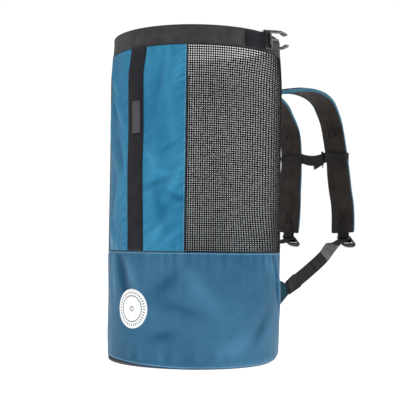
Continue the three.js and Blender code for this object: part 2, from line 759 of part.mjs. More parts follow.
// Keeper: a sewn sleeve round the adjuster webbing beside its tab.
function webbingKeeper() {
  const curve = adjusterCurve();
  const middle = (KEEPER_START + KEEPER_LENGTH / 2) / curve.getLength();
  const { at, across, through } = adjusterFrame(curve, middle);
  const room = 2 * LOOP_CLEARANCE;
  const sleeve = webbingRing(ADJUSTER_WIDTH + room, WEBBING + room, KEEPER_LENGTH);
  return placed(sleeve, across, through, new THREE.Vector3().crossVectors(across, through), at);
}

// The frame of a sternum loop, which slants upwards to the outer side of its pad.
function loopFrame() {
  const frame = padFrame(padCurve(), STERNUM_SHARE);
  const across = frame.across.clone().applyAxisAngle(frame.through, STERNUM_SLANT);
  const along = frame.along.clone().applyAxisAngle(frame.through, STERNUM_SLANT);
  return { ...lifted(frame, (FIT + WEBBING) / 2), across, along };
}

// Half width of a sternum loop: wide enough for the slanted pad.
function loopHalfWidth() {
  const slanted = PAD_WIDTH * Math.cos(STERNUM_SLANT) + STERNUM_WIDTH * Math.sin(STERNUM_SLANT);
  return slanted / 2 + LOOP_CLEARANCE + WEBBING;
}

// Sternum loop: a ring of webbing round a pad and its webbing.
function sternumLoop() {
  const { at, across, along, through } = loopFrame();
  const depth = PAD_THICKNESS + FIT + WEBBING + 2 * LOOP_CLEARANCE;
  const geometry = webbingRing(2 * (loopHalfWidth() - WEBBING), depth, STERNUM_WIDTH);
  return placed(geometry, across, through, along.clone().negate(), at);
}

// Sternum webbing between the two loops, as frames from one share of its span to another.
function sternumFrames(from, to, depth, drop) {
  const right = loopFrame();
  const end = right.at.clone().addScaledVector(right.across, -loopHalfWidth() - FIT);
  return spread(from, to, 0.125).map((share) => {
    const side = 1 - 2 * share;
    const sag = STERNUM_SAG * (1 - side ** 2);
    const across = right.along.clone().negate();
    across.x *= side;
    const at = new THREE.Vector3(end.x * side, end.y, end.z - sag);
    at.addScaledVector(across, (-drop * (share - from)) / (to - from));
    const through = new THREE.Vector3().crossVectors(across, X_AXIS).normalize();
    return lifted({ at, across, through }, depth);
  });
}

// The strap across the chest.
function sternumWebbing() {
  return strap(sternumFrames(0, 1, 0, 0), STERNUM_WIDTH, WEBBING);
}

// Share of the sternum webbing's span that a length along it takes.
function sternumShare(length) {
  return length / (2 * sternumFrames(0, 1, 0, 0)[0].at.x);
}

// Loose tail of the sternum webbing, behind it and a little lower.
function sternumTail() {
  const start = sternumShare(SLIDER_INSET);
  const end = sternumShare(SLIDER_INSET + STERNUM_TAIL_LENGTH);
  return strap(sternumFrames(start, end, WEBBING + FIT, STERNUM_TAIL_DROP), STERNUM_WIDTH, WEBBING);
}

// A piece put on the front of the sternum webbing beside the right pad, lowered along the webbing.
function onSternum(geometry, drop) {
  const depth = WEBBING / 2 + FIT + SLIDER_THICKNESS / 2;
  const share = sternumShare(SLIDER_INSET);
  const { at, across, through } = sternumFrames(share, share + 1, -depth, 0)[0];
  const sideways = new THREE.Vector3().crossVectors(through, across);
  return placed(geometry, sideways, through, across, at.clone().addScaledVector(across, -drop));
}

// Slider bar on the sternum webbing.
function sternumSlider() {
  return onSternum(new THREE.BoxGeometry(SLIDER_WIDTH, SLIDER_THICKNESS, SLIDER_HEIGHT), 0);
}

// Small moulded end below the slider.
function sternumTip() {
  const geometry = new THREE.CylinderGeometry(TIP_SIZE / 2, TIP_SIZE / 3, TIP_SIZE, 8);
  return onSternum(geometry.rotateX(HALF_TURN / 2), SLIDER_HEIGHT / 2 + FIT + TIP_SIZE / 2);
}

// A named mesh with its own finish.
function piece(name, geometry, colour, roughness) {
  const material = new THREE.MeshStandardMaterial({ color: COLOURS[colour], roughness, metalness: 0 });
  const mesh = new THREE.Mesh(geometry, material);
  mesh.name = name;
  return mesh;
}

const bag = new THREE.Group();
bag.add(
  piece("base_disc", baseDisc(), "base", 0.8),
  piece("lower_wall", lowerWall(), "tub", 0.7),
  piece("round_patch", roundPatch(), "patch", 0.5),
  piece(
    "front_panel",
    panel(-FRONT_HALF_ANGLE, FRONT_HALF_ANGLE, PANEL_BOTTOM, PANEL_TOP, -CLOTH, 0, WALL_STEP),
    "front",
    0.5,
  ),
  piece(
    "back_panel",
    panel(
      HALF_TURN - BACK_HALF_ANGLE,
      HALF_TURN + BACK_HALF_ANGLE,
      PANEL_BOTTOM,
      PANEL_TOP,
      -CLOTH,
      0,
      WALL_STEP,
    ),
    "back",
    0.8,
  ),
  piece("top_band_front", topBand(-HALF_TURN / 2, HALF_TURN / 2), "band", 0.7),
  piece("top_band_back", topBand(HALF_TURN / 2, HALF_TURN * 1.5), "band", 0.7),
  piece("front_webbing", frontWebbing(), "webbing", 0.7),
  piece("label_tag", labelTag(), "label", 0.8),
  piece("buckle_male", buckleMale(), "buckle", 0.3),
  piece("buckle_female", mirrored(buckleFemale()), "buckle", 0.3),
  piece("sternum_webbing", sternumWebbing(), "webbing", 0.7),
  piece("sternum_tail", sternumTail(), "webbing", 0.7),
  piece("sternum_slider", sternumSlider(), "plastic", 0.4),
  piece("sternum_tip", sternumTip(), "tip", 0.4),
);
const pairs = [
  ["net_panel", netPanel(), "net", 0.6],
  ["front_binding", binding(FRONT_HALF_ANGLE), "webbing", 0.7],
  ["back_binding", binding(HALF_TURN - BACK_HALF_ANGLE), "webbing", 0.7],
  ["buckle_tab", buckleTab(), "webbing", 0.7],
  ["shoulder_pad", shoulderPad(), "pad", 0.8],
  ["pad_webbing", padWebbing(), "webbing", 0.7],
  ["ladder_lock", ladderLock(), "plastic", 0.4],
  ["strap_tab", strapTab(), "tab", 0.7],
  ["adjuster_webbing", adjusterWebbing(), "adjuster", 0.7],
  ["webbing_keeper", webbingKeeper(), "adjuster", 0.7],
  ["sternum_loop", sternumLoop(), "webbing", 0.7],
];
for (const [name, geometry, colour, roughness] of pairs) {
  bag.add(piece(`${name}_right`, geometry, colour, roughness));
  bag.add(piece(`${name}_left`, mirrored(geometry), colour, roughness));
}

export default bag;
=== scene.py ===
"""Looks of a tall round mesh dive bag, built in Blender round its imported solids.

Lengths are metres, +Z is up, the cloth front faces -Y and the shoulder straps are on +Y. Angles round
the bag start at the front and grow towards +X. Sizes shared with the solids repeat their named values.
"""

import logging
import math
from collections.abc import Callable, Sequence
from dataclasses import dataclass, field
from enum import Enum
from functools import reduce
from typing import Any

import bmesh
import bpy
import numpy as np
from mathutils import Matrix, Vector


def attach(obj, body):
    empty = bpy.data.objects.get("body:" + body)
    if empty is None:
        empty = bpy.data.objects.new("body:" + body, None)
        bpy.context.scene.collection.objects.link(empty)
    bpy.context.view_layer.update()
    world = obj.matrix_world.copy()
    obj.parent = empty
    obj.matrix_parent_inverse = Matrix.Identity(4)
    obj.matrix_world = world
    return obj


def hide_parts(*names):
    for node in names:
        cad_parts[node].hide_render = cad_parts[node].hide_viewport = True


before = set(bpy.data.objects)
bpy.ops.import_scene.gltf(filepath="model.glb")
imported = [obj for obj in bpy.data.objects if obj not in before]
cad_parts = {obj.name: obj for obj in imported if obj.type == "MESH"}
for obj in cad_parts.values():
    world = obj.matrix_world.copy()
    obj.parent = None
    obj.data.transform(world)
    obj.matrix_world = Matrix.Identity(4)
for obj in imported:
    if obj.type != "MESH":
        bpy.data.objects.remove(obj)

MM = 0.001
DEGREE = math.pi / 180.0
Colour = tuple[float, float, float, float]
X, Y, Z = np.eye(3)
# Range in which noise nearly always lies.
CLOUDS = (0.3, 0.7)
# Points closer than this are one point of a closed sheet.
MERGE = 1e-6

log = logging.getLogger("dive_bag")


class Slot(Enum):
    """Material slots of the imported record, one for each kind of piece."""

    BASE = "base_cloth"
    TUB = "tub_cloth"
    FRONT = "front_cloth"
    BACK = "black_cloth"
    NET = "net"
    BAND = "band_webbing"
    WEBBING = "black_webbing"
    LABEL = "label"
    PATCH = "patch"
    PAD = "pad_mesh"
    BUCKLE = "buckle_plastic"
    PLASTIC = "black_plastic"
    TIP = "light_plastic"


class Side(Enum):
    """The two sides of the bag, with the sign of X on each."""

    RIGHT = 1
    LEFT = -1

    @property
    def word(self) -> str:
        """The side as it stands in a node's name."""
        return self.name.lower()

    @property
    def flip(self) -> np.ndarray:
        """Factors that carry a point from the right side to this one."""
        return np.array([float(self.value), 1.0, 1.0])


def display(red: float, green: float, blue: float) -> Colour:
    """Turns a display colour into the linear colour that a shader takes.

    Args:
        red: Red from 0 to 255.
        green: Green from 0 to 255.
        blue: Blue from 0 to 255.

    Returns:
        The linear colour with full alpha.
    """
    parts = [v / 255 for v in (red, green, blue)]
    linear = [v / 12.92 if v <= 0.04045 else ((v + 0.055) / 1.055) ** 2.4 for v in parts]
    return (*linear, 1.0)


def brighter(colour: Colour, times: float) -> Colour:
    """A linear colour made brighter or, with a factor below 1, darker."""
    return (*(min(1.0, v * times) for v in colour[:3]), 1.0)


def ease(value: Any, low: float, high: float) -> Any:
    """Rises smoothly from 0 at low to 1 at high.

    Args:
        value: A number or an array.
        low: Where the rise starts.
        high: Where the rise ends.

    Returns:
        The eased share, shaped as the value is.
    """
    share = np.clip((value - low) / (high - low), 0.0, 1.0)
    return share * share * (3 - 2 * share)


class NodeGraph:
    """A node tree under construction."""

    def __init__(self, tree: bpy.types.NodeTree) -> None:
        """Starts on a tree."""
        self.tree = tree

    def feed(self, socket: bpy.types.NodeSocket, value: Any) -> None:
        """Links an output to a socket, or sets the socket's own value.

        Args:
            socket: The socket.
            value: An output or a plain value.
        """
        if isinstance(value, bpy.types.NodeSocket):
            self.tree.links.new(value, socket)
        else:
            socket.default_value = value

    def node(self, kind: str, inputs: dict[Any, Any] | None = None, **settings: Any) -> bpy.types.Node:
        """Adds a node.

        Args:
            kind: The node's type.
            inputs: Values or outputs for its sockets, by name or index.
            settings: Its properties.

        Returns:
            The new node.
        """
        made = self.tree.nodes.new(kind)
        for key, value in settings.items():
            setattr(made, key, value)
        for key, value in (inputs or {}).items():
            self.feed(made.inputs[key], value)
        return made


class Graph(NodeGraph):
    """A material under construction: each call adds a step and returns its output."""

    def __init__(self, name: str) -> None:
        """Starts a material that holds a Principled shader and its output.

        Args:
            name: Name of the material.
        """
        self.material = bpy.data.materials.new(name)
        self.material.use_nodes = True
        super().__init__(self.material.node_tree)
        coordinates = self.node("ShaderNodeTexCoord").outputs
        self.laid, self.space = coordinates["UV"], coordinates["Object"]

    def turned(self, vector: Any, scale: Sequence[float], angle: float = 0.0) -> bpy.types.NodeSocket:
        """A place stretched on each axis and turned about Z by an angle in degrees."""
        inputs = {"Vector": vector, "Scale": tuple(scale), "Rotation": (0.0, 0.0, angle * DEGREE)}
        return self.node("ShaderNodeMapping", inputs).outputs["Vector"]

    def noise(self, vector: Any, size: float, detail: float = 2.0) -> bpy.types.NodeSocket:
        """Cloudy noise from 0 to 1 whose patches have about the given size in metres."""
        inputs = {"Vector": vector, "Scale": 1.0 / size, "Detail": detail}
        return self.node("ShaderNodeTexNoise", inputs).outputs["Fac"]

    def ribs(self, vector: Any, pitch: float, axis: str, waver: float = 0.0) -> bpy.types.NodeSocket:
        """Parallel ribs from 0 to 1.

        Args:
            vector: The place.
            pitch: Distance between ribs in metres.
            axis: Axis that crosses the ribs.
            waver: How far noise bends the ribs.

        Returns:
            The height of the ribs.
        """
        inputs = {"Vector": vector, "Scale": 2 * math.pi / (20 * pitch), "Distortion": waver}
        wave = self.node("ShaderNodeTexWave", inputs, bands_direction=axis, wave_profile="SIN")
        return wave.outputs["Fac"]

    def math(self, operation: str, first: Any, second: Any = 0.0) -> bpy.types.NodeSocket:
        """One arithmetic step on two numbers."""
        return self.node("ShaderNodeMath", {0: first, 1: second}, operation=operation).outputs[0]

    def weighed(self, *parts: tuple[Any, float]) -> bpy.types.NodeSocket:
        """The sum of values, each times its weight."""
        weighed = [self.math("MULTIPLY", value, weight) for value, weight in parts]
        return reduce(lambda total, part: self.math("ADD", total, part), weighed)

    def spanned(self, value: Any, source: Sequence[float], target: Sequence[float]) -> bpy.types.NodeSocket:
        """A value carried from one range to another and kept inside it."""
        inputs = {0: value, 1: source[0], 2: source[1], 3: target[0], 4: target[1]}
        return self.node("ShaderNodeMapRange", inputs).outputs[0]

    def blend(self, share: Any, first: Any, second: Any) -> bpy.types.NodeSocket:
        """A mix of two colours."""
        return self.node("ShaderNodeMix", {0: share, 6: first, 7: second}, data_type="RGBA").outputs[2]

    def shaded(self, value: Any, source: Sequence[float], first: Any, second: Any) -> bpy.types.NodeSocket:
        """A mix of two colours that follows a value from one end of a range to the other."""
        return self.blend(self.spanned(value, source, (0.0, 1.0)), first, second)

    def bump(self, height: Any, depth: float, strength: float = 1.0, below: Any = None) -> bpy.types.NodeSocket:
        """A normal bent by a height.

        Args:
            height: Height from 0 to 1.
            depth: What a height of 1 stands for, in metres.
            strength: Share of the bend that is used.
            below: Normal that this one is laid on.

        Returns:
            The bent normal.
        """
        inputs = {"Height": height, "Distance": depth, "Strength": strength}
        if below is not None:
            inputs["Normal"] = below
        return self.node("ShaderNodeBump", inputs).outputs["Normal"]

    def finish(self, **sockets: Any) -> bpy.types.Material:
        """Sets the shader's sockets, named in lower case with underscores.

        Args:
            sockets: Values or outputs for the Principled shader.

        Returns:
            The finished material.
        """
        shader = self.tree.nodes["Principled BSDF"]
        names = {socket.name.lower().replace(" ", "_"): socket for socket in shader.inputs}
        for key, value in sockets.items():
            self.feed(names[key], value)
        return self.material


@dataclass(frozen=True)
class Finish:
    """A surface finish. Each kind says what goes into the shader."""

    name: str

    def sockets(self, g: Graph) -> dict[str, Any]:
        """Values and outputs for the Principled shader, by the names that Graph.finish takes.

        Args:
            g: The material under construction.

        Returns:
            Values and outputs for the shader, by the names that Graph.finish takes.
        """
        raise NotImplementedError

    def build(self) -> bpy.types.Material:
        """Makes the material."""
        graph = Graph(self.name)
        return graph.finish(**self.sockets(graph))


@dataclass(frozen=True)
class CoatedCloth(Finish):
    """Coated nylon: a fine rib or ripstop weave with cloudy shade and a soft sheen."""

    deep: Colour
    light: Colour
    cloud: float = 0.13
    rib_pitch: float = 4.2 * MM
    rib_depth: float = 0.10 * MM
    rib_shade: float = 0.20
    ripstop: float = 0.0
    roughness: float = 0.5
    sheen: float = 0.08
    crease: float = 0.8 * MM
    # Weight of the painted shade and painted highlight that follow the folds.
    fold_shade: float = 0.26
    # Colour of painted light towards one side, and the X span over which it comes in.
    painted_light_colour: Colour | None = None
    fade_span: tuple[float, float] = (-0.07, -0.015)

    def sockets(self, g: Graph) -> dict[str, Any]:
        """Colour that follows clouds and ribs, with painted shade in fold valleys and a painted highlight on fold
        ridges, and a creased, ribbed surface.

        Args:
            g: The material under construction.

        Returns:
            Values and outputs for the shader, by the names that Graph.finish takes.
        """
        clouds = g.noise(g.turned(g.space, (1.0, 1.0, 0.7)), self.cloud, 3.0)
        patches = g.noise(g.space, self.cloud * 0.22, 2.0)
        weft = g.ribs(g.laid, self.rib_pitch, "Y", 0.35)
        warp = g.ribs(g.laid, self.rib_pitch * 0.8, "X", 0.35)
        threads = g.weighed((weft, 0.7), (warp, 0.3))
        # The fold attribute gives painted shade in valleys and a painted highlight on ridges.
        fold = g.node("ShaderNodeAttribute", attribute_name="fold").outputs["Fac"]
        raised = g.math("SUBTRACT", threads, 0.5)
        shade = g.weighed((clouds, 0.75), (patches, 0.25), (raised, self.rib_shade), (fold, self.fold_shade))
        colour = g.shaded(shade, (0.2, 0.8), self.deep, self.light)
        # Painted light along X, patchy with the clouds: a greyer painted sheen on the front's left, painted shade on
        # the lining towards +X.
        if self.painted_light_colour is not None:
            across = g.node("ShaderNodeSeparateXYZ", {0: g.space}).outputs["X"]
            painted_light_share, painted_light_patches = g.spanned(across, self.fade_span, (1.0, 0.0)), g.spanned(clouds, CLOUDS, (0.45, 1.0))
            colour = g.blend(g.math("MULTIPLY", painted_light_share, painted_light_patches), colour, self.painted_light_colour)
        height = threads
        if self.ripstop:
            grid = [g.spanned(g.ribs(g.laid, self.ripstop, axis), (0.9, 1.0), (0.0, 1.0)) for axis in "XY"]
            height = g.math("ADD", threads, g.math("MAXIMUM", *grid))
        creases = g.bump(g.noise(g.space, 22 * MM, 4.0), self.crease, 0.5)
        return {
            "base_color": colour,
            "roughness": g.spanned(patches, CLOUDS, (self.roughness - 0.06, self.roughness + 0.08)),
            "normal": g.bump(height, self.rib_depth, 0.9, creases),
            "sheen_weight": self.sheen,
            "sheen_roughness": 0.45,
            "sheen_tint": self.light,
            "specular_ior_level": 0.16,
            "specular_tint": self.light,
        }


@dataclass(frozen=True)
class Webbing(Finish):
    """Woven webbing: ribs along the strap crossed by a tight weft."""

    deep: Colour
    light: Colour
    rib_pitch: float = 2.2 * MM
    weft_pitch: float = 1.1 * MM
    depth: float = 0.16 * MM

    def sockets(self, g: Graph) -> dict[str, Any]:
        """Colour that follows clouds, weave and fuzz, and a woven surface.

        Args:
            g: The material under construction.

        Returns:
            Values and outputs for the shader, by the names that Graph.finish takes.
        """
        ribs, weft = g.ribs(g.laid, self.rib_pitch, "X"), g.ribs(g.laid, self.weft_pitch, "Y")
        weave = g.math("MULTIPLY", g.math("ADD", ribs, 0.35), g.math("ADD", weft, 0.5))
        clouds, fuzz = g.noise(g.space, 22 * MM, 3.0), g.noise(g.laid, 0.6 * MM, 1.0)
        shade = g.weighed((clouds, 0.8), (weave, 0.12), (fuzz, 0.12))
        return {
            "base_color": g.shaded(shade, (0.38, 0.78), self.deep, self.light),
            "roughness": 0.7,
            "normal": g.bump(weave, self.depth, 0.9),
            "sheen_weight": 0.05,
            "sheen_roughness": 0.5,
            "specular_ior_level": 0.15,
        }


@dataclass(frozen=True)
class NetStrand(Finish):
    """Coated net strands: dark, a little shiny, with a fine grain along them."""

    colour: Colour
    worn: Colour

    def sockets(self, g: Graph) -> dict[str, Any]:
        """Dark cloudy colour and a grainy surface.

        Args:
            g: The material under construction.

        Returns:
            Values and outputs for the shader, by the names that Graph.finish takes.
        """
        grain = g.noise(g.space, 1.2 * MM, 2.0)
        return {
            "base_color": g.shaded(g.noise(g.space, 35 * MM, 2.0), CLOUDS, self.colour, self.worn),
            "roughness": 0.42,
            "normal": g.bump(grain, 0.15 * MM, 0.6),
            "specular_ior_level": 0.08,
        }


@dataclass(frozen=True)
class SpacerMesh(Finish):
    """Black spacer mesh: rows of small open cells on the slant."""

    deep: Colour
    light: Colour
    cell: float = 3.2 * MM
    slant: float = 38.0

    def sockets(self, g: Graph) -> dict[str, Any]:
        """Colour and surface that follow two crossed sets of slanted ribs.

        Args:
            g: The material under construction.

        Returns:
            Values and outputs for the shader, by the names that Graph.finish takes.
        """
        slanted = [g.ribs(g.turned(g.laid, (1, 1, 1), turn), self.cell, "X", 0.2) for turn in (self.slant, -self.slant)]
        cells = g.math("MAXIMUM", g.math("MULTIPLY", slanted[0], 0.9), g.math("MULTIPLY", slanted[1], 0.75))
        shade = g.weighed((cells, 0.55), (g.noise(g.space, 30 * MM, 2.0), 0.5))
        return {
            "base_color": g.shaded(shade, (0.3, 0.85), self.deep, self.light),
            "roughness": 0.85,
            "normal": g.bump(cells, 0.5 * MM, 0.9),
            "sheen_weight": 0.03,
            "specular_ior_level": 0.1,
        }


@dataclass(frozen=True)
class Moulded(Finish):
    """Moulded plastic or rubber: fine surface grain and a faint flow of shade."""

    colour: Colour
    light: Colour
    roughness: float
    coat: float = 0.0
    specular: float = 0.5

    def sockets(self, g: Graph) -> dict[str, Any]:
        """Flowing colour, a fine grain and a clear coat.

        Args:
            g: The material under construction.

        Returns:
            Values and outputs for the shader, by the names that Graph.finish takes.
        """
        grain = g.noise(g.space, 0.6 * MM, 1.0)
        return {
            "base_color": g.shaded(g.noise(g.space, 12 * MM, 2.0), CLOUDS, self.colour, self.light),
            "roughness": g.spanned(grain, CLOUDS, (self.roughness * 0.85, self.roughness * 1.15)),
            "normal": g.bump(grain, 0.03 * MM, 0.6),
            "coat_weight": self.coat,
            "coat_roughness": 0.08,
            "specular_ior_level": self.specular,
        }


@dataclass(frozen=True)
class PrintedPatch(Finish):
    """White moulded patch with two plain dark rings and a plain scale of ticks between them.

    It reads the patch's UV map, whose middle is at nought.
    """

    white: Colour
    ink: Colour
    rings: tuple[float, ...] = (4.0 * MM, 24.5 * MM)
    line: float = 0.85 * MM
    ticks: int = 36
    tick_from: float = 28.5 * MM
    tick_to: float = 33.0 * MM

    def sockets(self, g: Graph) -> dict[str, Any]:
        """White with the rings and the ticks a little sunk.

        Args:
            g: The material under construction.

        Returns:
            Values and outputs for the shader, by the names that Graph.finish takes.
        """
        place = g.node("ShaderNodeSeparateXYZ", {0: g.laid}).outputs
        radius = g.node("ShaderNodeVectorMath", {0: g.laid}, operation="LENGTH").outputs["Value"]
        ink: Any = 0.0
        for ring in self.rings:
            off = g.math("ABSOLUTE", g.math("SUBTRACT", radius, ring))
            ink = g.math("MAXIMUM", ink, g.math("LESS_THAN", off, self.line))
        turn = g.math("ARCTAN2", place["X"], place["Y"])
        beat = g.math("COSINE", g.math("MULTIPLY", turn, float(self.ticks)))
        beyond, within = g.math("GREATER_THAN", radius, self.tick_from), g.math("LESS_THAN", radius, self.tick_to)
        tick = g.math("MULTIPLY", g.math("GREATER_THAN", beat, 0.35), g.math("MULTIPLY", beyond, within))
        ink = g.math("MAXIMUM", ink, g.math("MULTIPLY", tick, 0.85))
        white = g.shaded(g.noise(g.space, 10 * MM, 2.0), CLOUDS, self.white, brighter(self.white, 0.94))
        return {
            "base_color": g.blend(ink, white, self.ink),
            "roughness": 0.48,
            "normal": g.bump(g.math("SUBTRACT", 1.0, ink), 0.2 * MM, 0.6),
            "specular_ior_level": 0.4,
        }


@dataclass(frozen=True)
class Thread(Finish):
    """Sewing thread: two twisted plies."""

    colour: Colour

    def sockets(self, g: Graph) -> dict[str, Any]:
        """Colour and surface that follow the plies.

        Args:
            g: The material under construction.

        Returns:
            Values and outputs for the shader, by the names that Graph.finish takes.
        """
        plies = g.ribs(g.turned(g.space, (1, 1, 1), 40), 0.7 * MM, "X")
        return {
            "base_color": g.blend(plies, self.colour, brighter(self.colour, 1.5)),
            "roughness": 0.6,
            "normal": g.bump(plies, 0.1 * MM, 0.7),
            "sheen_weight": 0.05,
            "specular_ior_level": 0.15,
        }


def mesh_piece(
    name: str,
    points: np.ndarray,
    faces: Sequence[Sequence[int]],
    laid: np.ndarray | None = None,
    materials: Sequence[bpy.types.Material] = (),
    slots: Sequence[int] | None = None,
) -> bpy.types.Object:
    """Makes a smooth mesh object at the origin.

    Args:
        name: Name of the piece.
        points: Its points.
        faces: Point numbers of each face, seen from outside against the clock.
        laid: Place of each point on the flat cloth, or None.
        materials: Its materials.
        slots: Material number of each face, or None for the first.

    Returns:
        The object, linked to the scene.
    """
    mesh = bpy.data.meshes.new(name)
    mesh.from_pydata(points.tolist(), [], [list(map(int, face)) for face in faces])
    mesh.update()
    if laid is not None:
        corners = np.zeros(len(mesh.loops), dtype=np.int32)
        mesh.loops.foreach_get("vertex_index", corners)
        layer = mesh.uv_layers.new(name="laid")
        layer.data.foreach_set("uv", laid[corners].astype(np.float32).ravel())
    for material in materials:
        mesh.materials.append(material)
    if slots is not None:
        mesh.polygons.foreach_set("material_index", np.asarray(slots, dtype=np.int32))
    mesh.polygons.foreach_set("use_smooth", np.ones(len(mesh.polygons), dtype=bool))
    mesh.update()
    made = bpy.data.objects.new(name, mesh)
    bpy.context.scene.collection.objects.link(made)
    return made


def deliver(piece: bpy.types.Object, slot: Slot, *nodes: str) -> bpy.types.Object:
    """Hands a finished piece to the frame and reports it.

    Args:
        piece: The piece, in place.
        slot: Material slot of the record; not used.
        nodes: Nodes of the solids that it stands for.

    Returns:
        The piece.
    """
    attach(piece, "root")
    if nodes:
        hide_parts(*nodes)
    log.info("%s: %d faces, for %s", piece.name, len(piece.data.polygons), ", ".join(nodes) or "no node")
    return piece


def baked(piece: bpy.types.Object) -> bpy.types.Object:
    """Turns a piece and its modifiers into a plain mesh.

    Args:
        piece: The piece with its modifiers.

    Returns:
        The same piece with no modifier.
    """
    graph = bpy.context.evaluated_depsgraph_get()
    mesh = bpy.data.meshes.new_from_object(piece.evaluated_get(graph), preserve_all_data_layers=True, depsgraph=graph)
    piece.modifiers.clear()
    old = piece.data
    piece.data = mesh
    bpy.data.meshes.remove(old)
    return piece


def grid_faces(rows: int, columns: int, start: int = 0, flip: bool = False) -> np.ndarray:
    """Faces between the points of a grid that is stored row by row.

    Args:
        rows: Number of rows of points.
        columns: Points in each row.
        start: Number of the first point.
        flip: Whether the faces look the other way.

    Returns:
        Four point numbers for each face.
    """
    i, j = np.meshgrid(np.arange(rows - 1), np.arange(columns - 1), indexing="ij")
    a = (start + i * columns + j).ravel()
    faces = np.stack([a, a + columns, a + columns + 1, a + 1], axis=1)
    return faces[:, ::-1] if flip else faces


def sheet_faces(rows: int, columns: int, closed: bool = False) -> tuple[np.ndarray, np.ndarray, np.ndarray]:
    """Faces of a sheet with thickness, whose outer points are stored before its inner points.

    Args:
        rows: Number of rows of points.
        columns: Points in each row.
        closed: Whether the first row and the last row meet.

    Returns:
        Four point numbers for each face of the outer side, of the inner side and of the rim.
    """
    size = rows * columns
    number = np.arange(size).reshape(rows, columns)
    edges = [number[::-1, 0], number[:, -1]] + ([] if closed else [number[0], number[-1, ::-1]])
    rim = [np.stack([edge[:-1], edge[1:], edge[1:] + size, edge[:-1] + size], axis=1) for edge in edges]
    return grid_faces(rows, columns), grid_faces(rows, columns, size, True), np.concatenate(rim)


def tube_faces(rings: int, size: int, start: int = 0, flip: bool = False) -> np.ndarray:
    """Faces between closed rings of points that are stored ring by ring.

    Args:
        rings: Number of rings.
        size: Points in each ring.
        start: Number of the first point.
        flip: Whether the faces look the other way.

    Returns:
        Four point numbers for each face.
    """
    i, j = np.meshgrid(np.arange(rings - 1), np.arange(size), indexing="ij")
    a, b = (start + i * size + j).ravel(), (start + i * size + (j + 1) % size).ravel()
    return np.stack([a, a + size, b + size, b] if flip else [a, b, b + size, a + size], axis=1)


def mended(piece: bpy.types.Object, step: Callable[[bmesh.types.BMesh], Any]) -> bpy.types.Object:
    """Changes a piece's mesh in place.

    Args:
        piece: The piece.
        step: What is done to its mesh.

    Returns:
        The same piece.
    """
    work = bmesh.new()
    work.from_mesh(piece.data)
    step(work)
    work.to_mesh(piece.data)
    work.free()
    return piece


def face_outwards(work: bmesh.types.BMesh) -> None:
    """Turns the faces of a closed mesh outwards."""
    if work.calc_volume(signed=True) < 0:
        bmesh.ops.reverse_faces(work, faces=work.faces)


def tube_piece(
    name: str, rings: np.ndarray, laid: np.ndarray, materials: Sequence[bpy.types.Material],
) -> bpy.types.Object:
    """Makes a closed piece from rings of points, with a flat cap at each end.

    Args:
        name: Name of the piece.
        rings: The points, ring by ring.
        laid: Place of each point on the flat cloth.
        materials: Its materials.

    Returns:
        The piece. Its faces lie ring by ring, and then come the caps.
    """
    count, size = rings.shape[:2]
    cap = np.arange(size)
    faces = [*tube_faces(count, size), cap[::-1], (count - 1) * size + cap]
    return mended(mesh_piece(name, rings.reshape(-1, 3), faces, laid.reshape(-1, 2), materials), face_outwards)


def domed_piece(
    name: str, ends: Sequence[np.ndarray], rings: np.ndarray, laid: np.ndarray, material: bpy.types.Material,
) -> bpy.types.Object:
    """Makes a closed round piece from rings of points between two middles.

    Args:
        name: Name of the piece.
        ends: The middle of the first face and the middle of the last.
        rings: The points between them, ring by ring.
        laid: Place of those points on the flat cloth, whose middle is at nought.
        material: Its material.

    Returns:
        The piece.
    """
    count, size = rings.shape[:2]
    turn, last = np.arange(size), 1 + (count - 1) * size
    after = (turn + 1) % size
    faces = [
        *np.stack([0 * turn, 1 + after, 1 + turn], axis=1), *tube_faces(count, size, 1),
        *np.stack([0 * turn + last + size, last + turn, last + after], axis=1),
    ]
    points = np.concatenate([ends[0].reshape(1, 3), rings.reshape(-1, 3), ends[1].reshape(1, 3)])
    return mesh_piece(name, points, faces, np.pad(laid.reshape(-1, 2), ((1, 1), (0, 0))), (material,))


